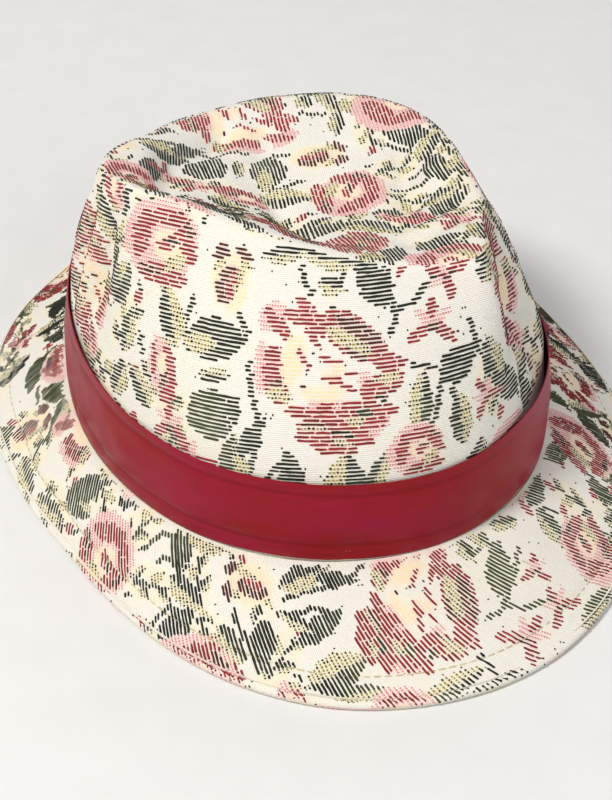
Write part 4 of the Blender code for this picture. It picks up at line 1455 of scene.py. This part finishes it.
def ribbon_grid(azimuth, shares, stand_off):
    """The outer face of the ribbon: share 0 is its lower edge and 1 its upper edge."""
    share = shares[:, None]
    height = RIBBON_HEIGHT * share
    arc = wrap(azimuth) * RIBBON_ARC
    middle = np.sin(math.pi * share)
    crease = sum(bell((share - place) / RIBBON_CREASE_HALF_WIDTH) for place in RIBBON_CREASES)
    pressed = np.clip(0.5 + 0.6 * waves(arc, 0, 60, 150, 42), 0, 1)
    radius = oval(azimuth) + RIBBON + GAP + stand_off - RIBBON_TAPER * share
    radius = radius + RIBBON_BULGE * middle ** 0.8 - RIBBON_CREASE_DEPTH * crease * pressed
    radius = radius + RIBBON_SWELL * (1 + waves(arc, height / MM * 2.5, 30, 90, 41)) * middle
    radius = radius + RIBBON_RIPPLE * waves(arc, height / MM * 1.5, 9, 22, 44) * middle
    for tack in TACKS:
        across = wrap(azimuth - tack) * RIBBON_ARC / DIMPLE_HALF_WIDTH
        up = (share - DIMPLE_HEIGHT) / DIMPLE_HEIGHT
        radius = radius - DIMPLE_DEPTH * bell(across) * bell(up)
    points = polar(azimuth + 0 * share, radius, 0)
    points[..., 2] = RIBBON_LOW + RIBBON_SWAY * waves(azimuth * RIBBON_ARC, 0, 35, 80, 43) + height
    return points


def make_ribbon(looks):
    """The satin band, the folded cover over its ends and the hand stitches that hold it."""
    points = ribbon_grid(np.linspace(-179.7, 179.7, 721), RIBBON_SHARES, 0)
    surface = Surface(points, grid_normals(points, closed=False))
    band, _ = cloth_layer("ribbon_band_satin", surface, RIBBON)
    add_piece(band, looks["satin"], "satin_ribbon", "ribbon_band")

    points = ribbon_grid(np.linspace(176, 184, 25), RIBBON_SHARES, RIBBON + GAP)
    swell = JOIN_COVER_SWELL * np.sin(math.pi * np.linspace(0, 1, 25)) ** 0.5
    points = points + grid_normals(points, closed=False) * swell[None, :, None]
    surface = Surface(points, grid_normals(points, closed=False))
    cover, _ = cloth_layer("ribbon_join_cover_satin", surface, RIBBON)
    add_piece(cover, looks["satin"], "satin_ribbon", "ribbon_join_cover")

    for number, tack in enumerate(TACKS, start=1):
        azimuth = tack + np.linspace(-1.2, 1.2, 9) / RIBBON_ARC
        path = ribbon_grid(azimuth, np.array([TACK_HEIGHT]), 0)[0]
        up = polar(azimuth, np.ones(9), 0)
        stitch_line(f"ribbon_tack_{number}_thread", path, up, TACK_STITCH, looks["red_thread"], "red_thread",
                    f"ribbon_tack_{number}")


def inner_ring(azimuth, heights, depth):
    """The outer face of a band that lies inside the side band, at heights above the join."""
    height = heights[:, None]
    azimuths = azimuth + 0 * height
    return polar(azimuths, wall_radius(azimuths, height) - depth, JOIN_TOP + height)


def opened_ring(ring):
    """A ring of rows as a strip of cloth whose ends meet at the back."""
    return Surface(open_at_back(ring), closed_ring(grid_normals(ring)))


def make_inside(looks):
    """The sweatband with its stitching, and the tape behind it."""
    heights = np.linspace(JOIN_BOTTOM, SWEATBAND_TOP, 22) - JOIN_TOP
    share = np.linspace(0, 1, 22)[:, None]
    sway = SWEATBAND_SWAY * (1 + waves(AZIMUTH * 1.5, 0, 18, 50, 51)) * share ** 2
    surface = opened_ring(inner_ring(AZIMUTH, heights, SWEATBAND_FACE + sway))
    band, _ = cloth_layer("sweatband_band", surface, SWEATBAND)
    add_piece(band, looks["twill"], "sweatband_twill", "sweatband")
    declare_cloth(surface.points)

    heights = np.linspace(JOIN_BOTTOM, SEAM_TAPE_TOP, 4) - JOIN_TOP
    surface = opened_ring(inner_ring(AZIMUTH, heights, LINING_DEPTH + GAP))
    tape, _ = cloth_layer("crown_seam_tape_band", surface, LINING)
    add_piece(tape, looks["twill"], "sweatband_twill", "crown_seam_tape")

    low = np.array([JOIN_BOTTOM + SWEATBAND_STITCH_HEIGHT - JOIN_TOP])
    azimuth = np.append(AZIMUTH, AZIMUTH[0] + 360)
    path = inner_ring(azimuth, low, SWEATBAND_FACE + SWEATBAND)[0]
    inward = -polar(azimuth, np.ones(len(azimuth)), 0)
    stitch_line("sweatband_stitching_thread", path, inward, SWEATBAND_STITCH, looks["cream_thread"],
                "cream_thread", "sweatband_stitching")


def make_label(looks):
    """The blank label, which curls a little off the sweatband."""
    low, high = (np.array(corner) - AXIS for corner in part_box("size_label"))
    share_x, share_z = np.meshgrid(np.linspace(0, 1, 25), np.linspace(0, 1, 19))
    curl = LABEL_CURL * (1 - np.sin(math.pi * share_x)) - LABEL_RIPPLE * np.cos(3 * math.pi * share_z)
    x = low[0] + (high[0] - low[0]) * share_x
    z = low[2] + (high[2] - low[2]) * share_z
    points = np.stack([x, low[1] + curl, z], axis=-1)
    surface = Surface(points, np.broadcast_to([0.0, -1.0, 0.0], points.shape))
    label, _ = cloth_layer("blank_label", surface, LABEL_THICKNESS)
    add_piece(label, looks["label"], "label", "size_label")


def make_camera():
    """The camera looks at the join from ahead and above, from a little to the hat's -X side."""
    aim = Vector(AXIS) + Vector((0, 0, JOIN_TOP))
    turn = Matrix.Rotation(-CAMERA_TURN, 3, "Z")
    forward = Vector((0, math.cos(CAMERA_DOWN), -math.sin(CAMERA_DOWN)))
    place = aim - turn @ forward * CAMERA_DISTANCE
    right = Vector((1, 0, 0))
    tilted = Matrix.Rotation(CAMERA_TILT, 3, right) @ forward
    rolled = turn @ Matrix.Rotation(-CAMERA_ROLL, 3, tilted)
    rotation = Matrix((rolled @ right, rolled @ right.cross(tilted), -(turn @ tilted))).transposed()
    camera = bpy.data.objects.new("camera", bpy.data.cameras.new("camera"))
    bpy.context.scene.collection.objects.link(camera)
    camera.matrix_world = Matrix.Translation(place) @ rotation.to_4x4()
    camera.data.lens = CAMERA_LENS
    camera.data.sensor_width = CAMERA_SENSOR
    camera.data.clip_start = 0.05
    bpy.context.scene.camera = camera


def area_light(name, place, size, power, colour):
    light = bpy.data.lights.new(name, "AREA")
    light.shape = "DISK"
    light.size = size
    light.energy = power
    light.color = colour
    thing = bpy.data.objects.new(name, light)
    bpy.context.scene.collection.objects.link(thing)
    thing.location = place
    thing.rotation_euler = (-Vector(place)).to_track_quat("-Z", "Y").to_euler()


def make_stage():
    """A pale floor under soft studio light."""
    bpy.ops.mesh.primitive_plane_add(size=FLOOR_SIZE)
    floor = bpy.context.object
    floor.name = "floor"
    floor.data.materials.append(floor_look())
    for light in LIGHTS:
        area_light(*light)
    world = bpy.data.worlds.new("studio")
    world.use_nodes = True
    background = world.node_tree.nodes["Background"]
    background.inputs[0].default_value = WORLD_COLOUR
    background.inputs[1].default_value = WORLD_LIGHT
    bpy.context.scene.world = world
    bpy.context.scene.view_settings.view_transform = "Standard"


def main():
    yarns = weave_repeat()
    weave = {
        "tints": repeat_tints(yarns),
        "floats": weft_floats(yarns),
        "ground": tapestry_look(),
        "yarns": [yarn_look(*colours) for colours in YARN_COLOURS],
    }
    looks = {name: plain_weave_look(*settings) for name, settings in PLAIN_WEAVES.items()}
    looks["satin"] = satin_look()
    looks["twill"] = twill_look()
    looks["cream_thread"] = yarn_look("cream_thread", *CREAM_THREAD)
    looks["red_thread"] = yarn_look("red_thread", *RED_THREAD)
    make_camera()
    make_crown(weave, looks)
    make_brim(weave, looks)
    make_ribbon(looks)
    make_inside(looks)
    make_label(looks)
    make_stage()


main()
